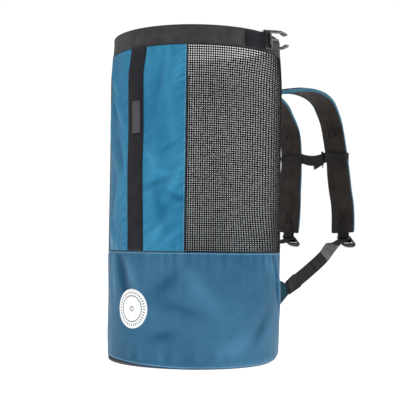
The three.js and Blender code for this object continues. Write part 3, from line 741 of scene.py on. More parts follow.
@dataclass(frozen=True)
class BagShell:
    """The round wall that the body's pieces lie on, with the soft shape of filled cloth."""

    radius: float = 175 * MM
    height: float = 650 * MM
    cloth: float = 2 * MM
    tub_height: float = 220 * MM
    band_height: float = 38 * MM
    seam: float = 0.15 * MM
    corner_mean: float = 12 * MM
    corner_swing: float = 7.5 * MM
    slackest: float = 130.0
    front_half: float = 36.2
    back_half: float = 48.0
    profile: tuple[tuple[float, float], ...] = (
        (0.0, 0.99), (0.08, 1.0), (0.6, 0.997), (0.87, 1.003), (0.942, 0.986), (1.0, 0.975),
    )
    bend: float = 9 * MM
    hem_line: tuple[tuple[float, float], ...] = (
        (-180, 10), (-50, 12), (-33, 11), (10, 4.5), (35, 1.5), (140, 1.5), (180, 10),
    )

    @property
    def band_bottom(self) -> float:
        """Height of the band's lower edge."""
        return self.height - self.band_height

    @property
    def panel_span(self) -> tuple[float, float]:
        """Heights between which the front and the back lie, clear of both seams."""
        return self.tub_height + self.seam, self.band_bottom - self.seam

    def corner(self, angle: Any) -> Any:
        """Rounding of the lower corner: tight at the left of the front, slack at the right of the back."""
        return self.corner_mean + self.corner_swing * np.cos((np.asarray(angle) - self.slackest) * DEGREE)

    def tuck(self, angle: Any, z: Any) -> Any:
        """Distance that the lower corner curves inwards at a height."""
        rounding = self.corner(angle)
        return rounding - np.sqrt(np.clip(rounding**2 - np.clip(rounding - z, 0, None) ** 2, 0, None))

    def hem(self, angle: Any) -> Any:
        """Height of the tub's hem: it rides up over the pan at the left and reaches the floor at the right."""
        turn, rise = np.array(self.hem_line).T
        return np.interp(angle, turn, rise) * MM

    def wall_radius(self, z: Any) -> Any:
        """Radius of the wall's outer face, with the bends of its profile eased.

        Args:
            z: Height, a number or an array.

        Returns:
            The radius.
        """
        rows = np.array(self.profile)
        steps = (-self.bend, 0, self.bend)
        near = [np.interp(np.asarray(z) + off, rows[:, 0] * self.height, rows[:, 1]) for off in steps]
        return self.radius * (near[0] + near[1] * 2 + near[2]) / 4

    def points(self, angle: Any, z: Any, offset: Any) -> np.ndarray:
        """Points at angles in degrees round the bag, offset outwards from the wall.

        Args:
            angle: Angles in degrees.
            z: Heights.
            offset: Distances outside the wall.

        Returns:
            The points, with x, y and z on the last axis.
        """
        turn = np.asarray(angle) * DEGREE
        radius = self.wall_radius(z) + offset
        return np.stack([radius * np.sin(turn), -radius * np.cos(turn), np.broadcast_to(z, radius.shape)], axis=-1)

    def arc(self, angle: Any) -> Any:
        """Length along the wall from the front to an angle in degrees."""
        return np.asarray(angle) * DEGREE * self.radius

    def degrees(self, length: Any) -> Any:
        """Angle in degrees that a length along the wall takes."""
        return np.asarray(length) / self.radius / DEGREE


@dataclass(frozen=True)
class Fold:
    """A soft fold: a straight ridge, or a valley where it is below nought, that fades at its ends."""

    angle: float
    z: float
    length: float
    width: float
    height: float
    slant: float

    def relief(self, shell: BagShell, angle: np.ndarray, z: np.ndarray) -> np.ndarray:
        """Height of the fold at places on the wall.

        Args:
            shell: The wall.
            angle: Angles in degrees.
            z: Heights.

        Returns:
            Distances outwards.
        """
        x, y = shell.arc(angle - self.angle), z - self.z
        c, s = math.cos(self.slant * DEGREE), math.sin(self.slant * DEGREE)
        along, across = x * s + y * c, x * c - y * s
        return self.height * np.exp(-((along / self.length) ** 2) * 2) * np.exp(-((across / self.width) ** 2) * 2)


@dataclass(frozen=True)
class Puckers:
    """Small gathers beside a level seam, which fade with distance from it."""

    z: float
    reach: float
    pitch: float
    height: float
    seed: int
    side: int = -1

    def relief(self, shell: BagShell, angle: np.ndarray, z: np.ndarray) -> np.ndarray:
        """Height of the gathers at places on the wall.

        Args:
            shell: The wall.
            angle: Angles in degrees.
            z: Heights.

        Returns:
            Distances outwards.
        """
        rng = np.random.default_rng(self.seed)
        turns = np.round(2 * math.pi * shell.radius / self.pitch * rng.uniform(0.55, 1.5, 7))
        phases, weights = rng.uniform(0, 2 * math.pi, 7), rng.uniform(0.5, 1.0, 7)
        turn = angle * DEGREE
        waves = sum(w * np.cos(turn * n + p) for n, p, w in zip(turns, phases, weights)) / weights.sum() * 2
        away = self.side * (z - self.z)
        fade = np.where(away >= 0, np.exp(-away / self.reach), 0.0) * ease(away, 0.0, 5 * MM)
        return self.height * waves * fade


@dataclass(frozen=True)
class SeamPuckers:
    """Short slanted gathers beside an upright seam, which fade with distance from it."""

    angle: float
    reach: float
    pitch: float
    height: float
    seed: int
    side: int
    skew: float = 0.5

    def relief(self, shell: BagShell, angle: np.ndarray, z: np.ndarray) -> np.ndarray:
        """Height of the gathers at places on the wall.

        Args:
            shell: The wall.
            angle: Angles in degrees.
            z: Heights.

        Returns:
            Distances outwards.
        """
        rng = np.random.default_rng(self.seed)
        pitches, phases = self.pitch * rng.uniform(0.6, 1.9, 6), rng.uniform(0, 2 * math.pi, 6)
        away = self.side * shell.arc(angle - self.angle)
        slanted = 2 * math.pi * (z + self.skew * away)
        waves = sum(np.cos(slanted / wave + phase) for wave, phase in zip(pitches, phases)) / 3
        fade = np.where(away >= 0, np.exp(-away / self.reach), 0.0) * ease(away, 0.0, 6 * MM)
        return self.height * waves * fade


@dataclass(frozen=True)
class Sag:
    """Broad slack of a stretched cloth: a few long waves that close round the bag."""

    height: float
    seed: int
    fastest: int = 9
    tallest: float = 0.09

    def relief(self, shell: BagShell, angle: np.ndarray, z: np.ndarray) -> np.ndarray:
        """Height of the slack at places on the wall.

        Args:
            shell: The wall; not used.
            angle: Angles in degrees.
            z: Heights.

        Returns:
            Distances outwards.
        """
        rng = np.random.default_rng(self.seed)
        total = np.zeros(np.broadcast(angle, z).shape)
        for _ in range(12):
            turns, wave = rng.integers(2, self.fastest), rng.uniform(self.tallest, self.tallest * 4)
            slope = rng.choice([-1, 1]) * 2 * math.pi / wave
            total = total + np.cos(angle * DEGREE * turns + z * slope + rng.uniform(0, 2 * math.pi))
        return self.height * total / 4


@dataclass
class WallSheet:
    """A closed sheet of cloth on the wall, with its folds and its thickness."""

    name: str
    shell: BagShell
    angles: np.ndarray
    heights: np.ndarray
    folds: Sequence[Any] = ()
    thickness: float = 2 * MM
    edge: float = 7 * MM
    closed: bool = False
    hem: Any = None

    def relief(self, angle: np.ndarray, z: np.ndarray) -> np.ndarray:
        """Height of all folds, held flat where the sheet is sewn.

        Args:
            angle: Angles in degrees.
            z: Heights.

        Returns:
            Distances outwards.
        """
        total = np.zeros(np.broadcast(angle, z).shape)
        for fold in self.folds:
            total = total + fold.relief(self.shell, angle, z)
        hold = ease(z - self.heights[0], 0, self.edge) * ease(self.heights[-1] - z, 0, self.edge)
        if not self.closed:
            side = self.shell.arc(np.minimum(angle - self.angles[0], self.angles[-1] - angle))
            hold = hold * ease(side, 0, self.edge)
        return total * hold

    def above(self, lift: float) -> Callable[[np.ndarray, np.ndarray], np.ndarray]:
        """A call that gives the height of the folds at angles and heights, with a lift added."""
        return lambda angle, z: self.relief(angle, z) + lift

    def painted_fold_relief(self, angle: np.ndarray, z: np.ndarray) -> np.ndarray:
        """Height of the sharp folds alone, which gives the cloth's colour painted shade in valleys and a painted
        highlight on ridges.

        Args:
            angle: Angles in degrees.
            z: Heights.

        Returns:
            Distances outwards.
        """
        total = np.zeros(angle.shape)
        for fold in self.folds:
            if not isinstance(fold, Sag):
                total = total + fold.relief(self.shell, angle, z) * (1.0 if isinstance(fold, Fold) else 2.0)
        return total

    def build(self, outside: bpy.types.Material, inside: bpy.types.Material) -> bpy.types.Object:
        """Makes the sheet.

        Args:
            outside: Material of its outer face.
            inside: Material of its inner face.

        Returns:
            The sheet as a closed mesh.
        """
        angle, z = np.meshgrid(self.angles, self.heights, indexing="ij")
        half = self.thickness / 2
        rim = np.minimum(z - self.heights[0], self.heights[-1] - z)
        if self.hem is not None:
            top = self.heights[-1]
            z = top - (top - z) * (top - self.hem(angle)) / (top - self.heights[0])
        bulge = self.relief(angle, z)
        if not self.closed:
            rim = np.minimum(rim, self.shell.arc(np.minimum(angle - self.angles[0], self.angles[-1] - angle)))
        thin = half * (1 - np.sqrt(np.clip(1 - (1 - np.clip(rim / half, 0, 1)) ** 2, 0.06, 1)))
        outer = self.shell.points(angle, z, bulge - thin)
        inner = self.shell.points(angle, z, bulge - self.thickness + thin)
        laid = np.stack([self.shell.arc(angle), z], axis=-1).reshape(-1, 2)
        faces = sheet_faces(*angle.shape, self.closed)
        slots = np.repeat((0, 1, 0), [len(part) for part in faces])
        points = np.concatenate([outer.reshape(-1, 3), inner.reshape(-1, 3)])
        made = mesh_piece(
            self.name, points, np.concatenate(faces), np.concatenate([laid, laid]), (outside, inside), slots,
        )
        # Kept on the mesh as the fold attribute: painted shade in valleys, painted highlight on ridges.
        shade = np.clip(self.painted_fold_relief(angle, z) / (4 * MM), -1, 1).astype(np.float32).ravel()
        made.data.attributes.new("fold", "FLOAT", "POINT").data.foreach_set("value", np.concatenate([shade, shade]))
        if self.closed:
            mended(made, lambda work: bmesh.ops.remove_doubles(work, verts=work.verts, dist=MERGE))
        return made


def rim_steps(low: float, high: float, count: int, rim: float) -> np.ndarray:
    """Even steps between two ends, with three close ones beside each end for a rounded rim.

    Args:
        low: The first value.
        high: The last value.
        count: Number of even steps.
        rim: Depth of the rounded rim in the same unit.

    Returns:
        All values in order.
    """
    ends = np.array([0.0, 0.12, 0.4, 1.0]) * rim
    return np.concatenate([low + ends, np.linspace(low + rim, high - rim, count + 1)[1:-1], high - ends[::-1]])


@dataclass(frozen=True)
class Frames:
    """A path of a strap: its points, and at each the directions across and through it."""

    at: np.ndarray
    across: np.ndarray
    through: np.ndarray

    def lifted(self, distance: Any) -> "Frames":
        """The same path moved through its thickness, by one distance or one for each frame."""
        return Frames(self.at + self.through * distance, self.across, self.through)

    def shifted(self, distance: Any) -> "Frames":
        """The same path moved across its width, by one distance or one for each frame."""
        return Frames(self.at + self.across * distance, self.across, self.through)

    def after(self, low: int) -> "Frames":
        """The frames from one number on."""
        return Frames(self.at[low:], self.across[low:], self.through[low:])

    def points(self, outlines: np.ndarray) -> np.ndarray:
        """Points of outlines that lie square across the path: pairs of distance across and through."""
        return self.at[:, None] + self.across[:, None] * outlines[..., :1] + self.through[:, None] * outlines[..., 1:]

    @property
    def run(self) -> np.ndarray:
        """Length of the path up to each frame."""
        return np.concatenate([[0.0], np.cumsum(np.linalg.norm(np.diff(self.at, axis=0), axis=1))])

    def reverse(self) -> "Frames":
        """The path from its other end, turned over so that its face stays outside."""
        return Frames(self.at[::-1], self.across[::-1], -self.through[::-1])

    def joined(self, other: "Frames") -> "Frames":
        """This path with another after it."""
        return Frames(*(np.concatenate([getattr(self, k), getattr(other, k)]) for k in ("at", "across", "through")))

    def mirrored(self, side: Side) -> "Frames":
        """The path on the asked side, from one that lies on the right.

        Args:
            side: The asked side.

        Returns:
            The path there.
        """
        if side is Side.RIGHT:
            return self
        return Frames(self.at * side.flip, -self.across * side.flip, self.through * side.flip)


def unit(vectors: np.ndarray) -> np.ndarray:
    """Vectors of length one in the same directions."""
    return vectors / np.linalg.norm(vectors, axis=-1, keepdims=True)


def squared(at: np.ndarray, along: np.ndarray, across: np.ndarray) -> Frames:
    """Frames whose across is squared to the path, and whose through is square to both."""
    side = unit(across - along * np.sum(across * along, axis=-1, keepdims=True))
    return Frames(at, side, np.cross(side, along))


def rounded_section(width: float, thickness: float, across: int = 6, round_steps: int = 3) -> np.ndarray:
    """Outline of a strap's section with round edges, against the clock seen along the path.

    Args:
        width: Its width.
        thickness: Its thickness.
        across: Steps along each flat side.
        round_steps: Steps round each edge.

    Returns:
        Pairs of distance across and distance through.
    """
    w, t = width / 2 - thickness / 2, thickness / 2
    lower = [(x, -t) for x in np.linspace(-w, w, across + 1)]
    turn = np.linspace(-90, 90, round_steps + 2)[1:-1] * DEGREE
    right = [(w + t * math.cos(a), t * math.sin(a)) for a in turn]
    upper = [(x, t) for x in np.linspace(w, -w, across + 1)]
    left = [(-w - t * math.cos(a), -t * math.sin(a)) for a in turn]
    return np.array(lower + right + upper + left)


def swept(name: str, frames: Frames, section: np.ndarray, materials: Sequence[bpy.types.Material]) -> bpy.types.Object:
    """Sweeps a section, or one section for each frame, along a path and closes the ends.

    Args:
        name: Name of the piece.
        frames: The path.
        section: Pairs of distance across and through, or an array of them for each frame.
        materials: Its materials.

    Returns:
        The strap as a closed mesh whose UV map is across and along it.
    """
    outlines = np.broadcast_to(section, (len(frames.at), *section.shape[-2:]))
    laid = np.stack(np.broadcast_arrays(outlines[..., 0], frames.run[:, None]), axis=-1)
    return tube_piece(name, frames.points(outlines), laid, materials)


class LineTree(NodeGraph):
    """Geometry Nodes that turn every line of a wire mesh into shapes of one material."""

    def __init__(self, name: str, sizes: dict[str, str]) -> None:
        """Starts the tree with its named inputs.

        Args:
            name: Name of the tree.
            sizes: Kind of each input, by its name.
        """
        super().__init__(bpy.data.node_groups.new(name, "GeometryNodeTree"))
        face = self.tree.interface
        face.new_socket("Lines", in_out="INPUT", socket_type="NodeSocketGeometry")
        self.inputs = [
            face.new_socket(word, in_out="INPUT", socket_type=f"NodeSocket{kind}").identifier
            for word, kind in {**sizes, "Finish": "Material"}.items()
        ]
        face.new_socket("Shapes", in_out="OUTPUT", socket_type="NodeSocketGeometry")
        self.given = self.node("NodeGroupInput").outputs
        self.curves = self.node("GeometryNodeMeshToCurve", {"Mesh": self.given["Lines"]}).outputs["Curve"]

    def close(self, shapes: bpy.types.NodeSocket) -> None:
        """Ends the tree: the shapes are smoothed, made real and given their material.

        Args:
            shapes: What the lines were turned into.
        """
        smooth = self.node("GeometryNodeSetShadeSmooth", {"Geometry": shapes}).outputs["Geometry"]
        real = self.node("GeometryNodeRealizeInstances", {"Geometry": smooth}).outputs["Geometry"]
        dress = self.node("GeometryNodeSetMaterial", {"Geometry": real, "Material": self.given["Finish"]})
        self.node("NodeGroupOutput", {"Shapes": dress.outputs["Geometry"]})

    def run(self, piece: bpy.types.Object, *values: Any) -> bpy.types.Object:
        """Turns a wire mesh into shapes.

        Args:
            piece: The wire mesh.
            values: Value of each input, in the tree's order.

        Returns:
            The same piece as a plain mesh.
        """
        modifier = piece.modifiers.new("shapes", "NODES")
        modifier.node_group = self.tree
        for identifier, value in zip(self.inputs, values, strict=True):
            modifier[identifier] = value
        return baked(piece)


class StrandTree(LineTree):
    """Sweeps a round strand along every line."""

    def __init__(self) -> None:
        """Builds the tree with its named inputs."""
        super().__init__("net_strands", {"Strand radius": "Float", "Strand sides": "Int"})
        ring = self.node("GeometryNodeCurvePrimitiveCircle", {
            "Radius": self.given["Strand radius"], "Resolution": self.given["Strand sides"],
        })
        sweep = self.node("GeometryNodeCurveToMesh", {
            "Curve": self.curves, "Profile Curve": ring.outputs["Curve"], "Fill Caps": True,
        })
        self.close(sweep.outputs["Mesh"])


class StitchTree(LineTree):
    """Lays one short thread at a time along every line, each tilted a little at random."""

    tilt = 0.12

    def __init__(self) -> None:
        """Builds the tree with its named inputs."""
        super().__init__("stitches", {"Stitch pitch": "Float", "Stitch size": "Vector", "Seed": "Int"})
        given = self.given
        points = self.node("GeometryNodeCurveToPoints", {"Curve": self.curves}, mode="LENGTH")
        self.feed(points.inputs["Length"], given["Stitch pitch"])
        thread = self.node("GeometryNodeMeshUVSphere", {"Segments": 6, "Rings": 4, "Radius": 0.5})
        shape = self.node("GeometryNodeTransform", {"Geometry": thread.outputs["Mesh"], "Scale": given["Stitch size"]})
        tilts = {0: (-self.tilt,) * 3, 1: (self.tilt,) * 3, "Seed": given["Seed"]}
        tilt = self.node("FunctionNodeRandomValue", tilts, data_type="FLOAT_VECTOR")
        lay = self.node("GeometryNodeInstanceOnPoints", {
            "Points": points.outputs["Points"], "Rotation": points.outputs["Rotation"],
            "Instance": shape.outputs["Geometry"],
        })
        turn = self.node("GeometryNodeRotateInstances", {
            "Instances": lay.outputs["Instances"], "Rotation": tilt.outputs[0],
        })
        self.close(turn.outputs["Instances"])


def wire_piece(name: str, lines: Sequence[np.ndarray], thick: Sequence[np.ndarray] | None = None) -> bpy.types.Object:
    """Makes a mesh of open lines.

    Args:
        name: Name of the piece.
        lines: Points of each line.
        thick: For each point, how many times the strand's radius it gets.

    Returns:
        The wire mesh.
    """
    starts = np.cumsum([0] + [len(line) for line in lines])
    edges = [(int(s + k), int(s + k + 1)) for s, line in zip(starts, lines) for k in range(len(line) - 1)]
    mesh = bpy.data.meshes.new(name)
    mesh.from_pydata(np.concatenate(lines).tolist(), edges, [])
    if thick is not None:
        radius = mesh.attributes.new("radius", "FLOAT", "POINT")
        radius.data.foreach_set("value", np.concatenate(thick).astype(np.float32))
    made = bpy.data.objects.new(name, mesh)
    bpy.context.scene.collection.objects.link(made)
    return made


class Finishes:
    """All materials of the bag, each made once."""

    def __init__(self) -> None:
        """Makes the materials."""
        self.tub = CoatedCloth(
            "tub_cloth", display(30, 74, 102), display(69, 116, 146), rib_pitch=3.0 * MM, rib_shade=0.14,
            fold_shade=0.36, crease=1.8 * MM,
        ).build()
        # The front's left turns a greyer blue: painted sheen.
        self.front = CoatedCloth(
            "front_cloth", display(26, 92, 128), display(62, 137, 173), rib_pitch=2.0 * MM, rib_depth=0.05 * MM,
            rib_shade=0.10, ripstop=6 * MM, roughness=0.42, sheen=0.1, crease=2.4 * MM, painted_light_colour=display(62, 106, 134),
        ).build()
        self.coating = CoatedCloth(
            "inner_coating", display(128, 150, 165), display(158, 178, 190), roughness=0.6, rib_shade=0.04,
        ).build()
        # The lining darkens towards +X: painted shade.
        self.lining = CoatedCloth(
            "pale_lining", display(222, 223, 224), display(240, 240, 240), roughness=0.8, rib_shade=0.04, sheen=0.0,
            painted_light_colour=display(140, 142, 145), fade_span=(0.12, 0.045),
        ).build()
        self.base = CoatedCloth("base_cloth", display(58, 58, 62), display(92, 92, 97), roughness=0.6).build()
        self.back = CoatedCloth("back_cloth", display(26, 26, 28), display(48, 48, 51), rib_pitch=1.4 * MM).build()
        self.band = Webbing(
            "band_webbing", display(44, 44, 46), display(66, 65, 68), rib_pitch=1.6 * MM, weft_pitch=1.3 * MM,
        ).build()
        self.webbing = Webbing("black_webbing", display(18, 18, 23), display(34, 34, 40)).build()
        self.strap = Webbing("strap_webbing", display(26, 24, 22), display(44, 41, 39)).build()
        # A pale copy of the strap webbing: painted highlight on the adjuster's twist.
        self.worn_strap = Webbing("worn_strap_webbing", display(80, 78, 76), display(108, 106, 104)).build()
        self.binding = Webbing("binding_tape", display(22, 22, 24), display(42, 42, 45), rib_pitch=1.0 * MM).build()
        self.label = Webbing(
            "bare_label", display(64, 62, 66), display(84, 81, 86), 0.7 * MM, 0.7 * MM, 0.04 * MM,
        ).build()
        self.net = NetStrand("net_strand", display(8, 8, 8), display(15, 15, 15)).build()
        self.spacer = SpacerMesh("spacer_mesh", display(22, 19, 19), display(65, 59, 56)).build()
        self.pad_cloth = CoatedCloth(
            "pad_cloth", display(36, 76, 96), display(76, 118, 138), rib_pitch=1.2 * MM, rib_shade=0.1,
            cloud=0.05, sheen=0.15,
        ).build()
        # The tab is the tub's blue darkened: painted shade.
        self.tab = CoatedCloth(
            "tab_cloth", display(4, 34, 44), display(12, 56, 72), rib_pitch=1.3 * MM, rib_shade=0.1,
        ).build()
        self.patch = PrintedPatch("moulded_patch", display(240, 241, 242), display(22, 23, 26)).build()
        self.buckle = Moulded("buckle_plastic", display(30, 31, 32), display(54, 55, 57), 0.2, coat=1.0).build()
        self.plastic = Moulded("lock_plastic", display(7, 7, 8), display(13, 13, 13), 0.5, specular=0.2).build()
        self.tip = Moulded("tip_plastic", display(205, 204, 198), display(222, 221, 215), 0.4).build()
        self.blue_thread = Thread("blue_thread", display(150, 194, 214)).build()
        self.dark_thread = Thread("dark_thread", display(7, 7, 8)).build()
        self.black_thread = Thread("black_thread", display(24, 24, 25)).build()


@dataclass
class Workshop:
    """What every sub-assembly is made with: the wall, the finishes and the two trees."""

    shell: BagShell = field(default_factory=BagShell)
    finishes: Finishes = field(default_factory=Finishes)
    strands: StrandTree = field(default_factory=StrandTree)
    stitches: StitchTree = field(default_factory=StitchTree)
    stitch_share: float = 0.72

    def level_line(self, low: float, high: float, z: float, offset: Any) -> np.ndarray:
        """Points along the wall at one height, a degree apart.

        Args:
            low: First angle in degrees.
            high: Last angle in degrees.
            z: Height.
            offset: Distance outside the wall, a number or a call that takes angles and heights.

        Returns:
            The points.
        """
        angle = np.linspace(low, high, max(2, int(abs(high - low)) + 1))
        out = offset(angle, np.full(angle.shape, z)) if callable(offset) else offset
        return self.shell.points(angle, np.full(angle.shape, z), out)

    def upright_line(self, angle: Any, low: float, high: float, offset: Any) -> np.ndarray:
        """Points up the wall at one angle, or at the angle that a call gives for each height.

        Args:
            angle: Angle in degrees, or a call that takes the heights.
            low: Lowest height.
            high: Highest height.
            offset: Distance outside the wall, a number or a call that takes angles and heights.

        Returns:
            The points.
        """
        z = np.linspace(low, high, max(2, int((high - low) / (5 * MM))))
        turn = angle(z) if callable(angle) else np.full(z.shape, float(angle))
        out = offset(turn, z) if callable(offset) else offset
        return self.shell.points(turn, z, out)

    def sew(
        self, slot: Slot, name: str, lines: Sequence[np.ndarray], finish: bpy.types.Material,
        pitch: float, thread: float, seed: int = 1,
    ) -> None:
        """Sews along lines and hands the stitches over as one piece.

        Args:
            slot: Material slot of the record.
            name: Name of the piece.
            lines: Points of each line.
            finish: The thread's material.
            pitch: Distance from one stitch to the next.
            thread: Thickness of the thread.
            seed: Seed of the small tilts.
        """
        size = (thread, thread, pitch * self.stitch_share)
        deliver(self.stitches.run(wire_piece(name, lines), pitch, size, seed, finish), slot)

    def lay(
        self, slot: Slot, name: str, lines: Sequence[np.ndarray], finish: bpy.types.Material,
        radius: float, sides: int = 6,
    ) -> None:
        """Lays round strands along lines and hands them over as one piece.

        Args:
            slot: Material slot of the record.
            name: Name of the piece.
            lines: Points of each line.
            finish: The strand's material.
            radius: Radius of a strand.
            sides: Sides of its section.
        """
        deliver(self.strands.run(wire_piece(name, lines), radius, sides, finish), slot)


@dataclass
class Base:
    """The shallow cloth pan that the bag stands on."""

    work: Workshop
    steps: int = 240
    piping: float = 1.4 * MM

    def build(self) -> None:
        """Makes the pan with its rounded edge and the piping at the tub's hem."""
        shell = self.work.shell
        rim = float(shell.wall_radius(12 * MM)) - 1.2 * MM
        angle = np.linspace(-180, 180, self.steps + 1)[:-1]
        rounding = shell.corner(angle)
        inner, flat = rounding - shell.cloth, rim - rounding
        level, turn = np.linspace(0, 1, 12)[1:-1, None], np.linspace(-90, 0, 10)[:, None] * DEGREE
        radius = np.concatenate([
            flat * level, flat + rounding * np.cos(turn), flat + inner * np.cos(turn[::-1]), flat * level[::-1],
        ])
        height = np.concatenate([
            0 * flat * level, rounding + rounding * np.sin(turn), rounding + inner * np.sin(turn[::-1]),
            shell.cloth + 0 * flat * level,
        ])
        rings = np.stack([radius * np.sin(angle * DEGREE), -radius * np.cos(angle * DEGREE), height], axis=-1)
        pan = domed_piece("base_pan", (0 * Z, shell.cloth * Z), rings, rings[..., :2], self.work.finishes.base)
        deliver(pan, Slot.BASE, "base_disc")
        turn = np.linspace(-180, 180, 361)
        low = shell.hem(turn) - 0.4 * MM
        line = shell.points(turn, low, -shell.tuck(turn, low) - 0.5 * MM)
        self.work.lay(Slot.BASE, "base_piping", [line], self.work.finishes.binding, self.piping / 2, 8)


@dataclass
class Tub:
    """The closed cloth tub, its top seam and its round patch."""

    work: Workshop
    columns: int = 320
    rows: int = 74
    patch_height: float = 110 * MM
    patch_rim: tuple[tuple[float, float], ...] = (
        (0, 1.0), (34.2, 1.0), (35.0, 1.25), (36.4, 1.3), (37.2, 0.95), (37.5, 0.5),
    )
    folds: tuple[Any, ...] = (
        Sag(0.55 * MM, 21),
        Puckers(219.85 * MM, 26 * MM, 21 * MM, 0.95 * MM, 4),
        Puckers(12.3 * MM, 20 * MM, 34 * MM, 0.6 * MM, 8, 1),
        Fold(-10, 0.170, 0.06, 0.016, -5.6 * MM, -16),
        Fold(-20, 0.178, 0.06, 0.011, 3.9 * MM, -6),
        Fold(-1, 0.182, 0.05, 0.015, 3.3 * MM, -24),
        Fold(24, 0.160, 0.05, 0.02, -3.4 * MM, 50),
        Fold(36, 0.112, 0.05, 0.016, -2.8 * MM, -72),
        Fold(22, 0.062, 0.045, 0.016, -2.8 * MM, 80),
        Fold(46, 0.150, 0.07, 0.02, 2.4 * MM, -38),
        Fold(112, 0.160, 0.085, 0.011, -5.5 * MM, -24),
        Fold(104, 0.185, 0.06, 0.009, 5.0 * MM, -30),
        Fold(96, 0.198, 0.04, 0.008, 3.2 * MM, -26),
        Fold(119, 0.150, 0.08, 0.011, 4.2 * MM, -18),
        Fold(90, 0.075, 0.06, 0.02, -2.6 * MM, 40),
        Fold(68, 0.045, 0.05, 0.02, 2.6 * MM, 70),
        Fold(200, 0.13, 0.08, 0.03, -5.4 * MM, 30),
        Fold(262, 0.12, 0.08, 0.03, -5.4 * MM, -34),
        Fold(-60, 0.10, 0.08, 0.03, -4.8 * MM, 28),
    )

    def patch_place(self, across: np.ndarray, up: np.ndarray, offset: float) -> np.ndarray:
        """Points on the patch from distances across and up from its middle."""
        return self.work.shell.points(self.work.shell.degrees(across), self.patch_height + up, offset)

    def build(self) -> None:
        """Makes the tub, the stitches below its seam, a dark strand of painted shade along the seam, and the patch."""
        shell, finishes = self.work.shell, self.work.finishes
        seam = shell.tub_height - shell.seam
        sheet = WallSheet(
            "tub_wall", shell, np.linspace(-180, 180, self.columns + 1),
            rim_steps(1.5 * MM, seam, self.rows, 1.2 * MM), self.folds, closed=True, edge=9 * MM, hem=shell.hem,
        )
        plain = sheet.relief
        sheet.relief = lambda angle, z: plain(angle, z) - shell.tuck(angle, z)
        deliver(sheet.build(finishes.tub, finishes.coating), Slot.TUB, "lower_wall")
        line = self.work.level_line(-180, 180, seam - 3.4 * MM, sheet.above(0.1 * MM))
        turn = np.linspace(-180, 180, 361)
        low = shell.hem(turn) + 3.2 * MM
        lower = shell.points(turn, low, sheet.relief(turn, low) + 0.1 * MM)
        self.work.sew(Slot.TUB, "tub_stitches", [line, lower], finishes.blue_thread, 4.6 * MM, 0.95 * MM)
        # A dark strand just below the seam: painted shade.
        shade = self.work.level_line(-180, 180, seam - 0.4 * MM, 0.15 * MM)
        self.work.lay(Slot.TUB, "tub_seam_fold", [shade], finishes.binding, 0.55 * MM)
        self.build_patch()

    def build_patch(self) -> None:
        """Makes the moulded patch: a domed disc with a raised rounded rim, on the tub's outside."""
        rings = np.concatenate([np.linspace(0, 34.2, 16)[1:], [35.0, 35.8, 36.6, 37.2, 37.5]]) * MM
        places, heights = np.array(self.patch_rim).T * MM
        rise = np.interp(rings, places, heights)
        turn = np.linspace(0, 2 * math.pi, 97)[:-1]
        lift = 0.35 * MM
        radius = np.append(rings, rings[-1])[:, None]
        across, up = radius * np.sin(turn), radius * np.cos(turn)
        points = self.patch_place(across, up, lift + np.append(rise, 0.0)[:, None])
        middle = np.zeros(1)
        ends = [self.patch_place(middle, middle, lift + rise[0]), self.patch_place(middle, middle, lift)]
        laid = np.stack([across, up], axis=-1)
        patch = domed_piece("round_patch_moulded", ends, points, laid, self.work.finishes.patch)
        deliver(patch, Slot.PATCH, "round_patch")


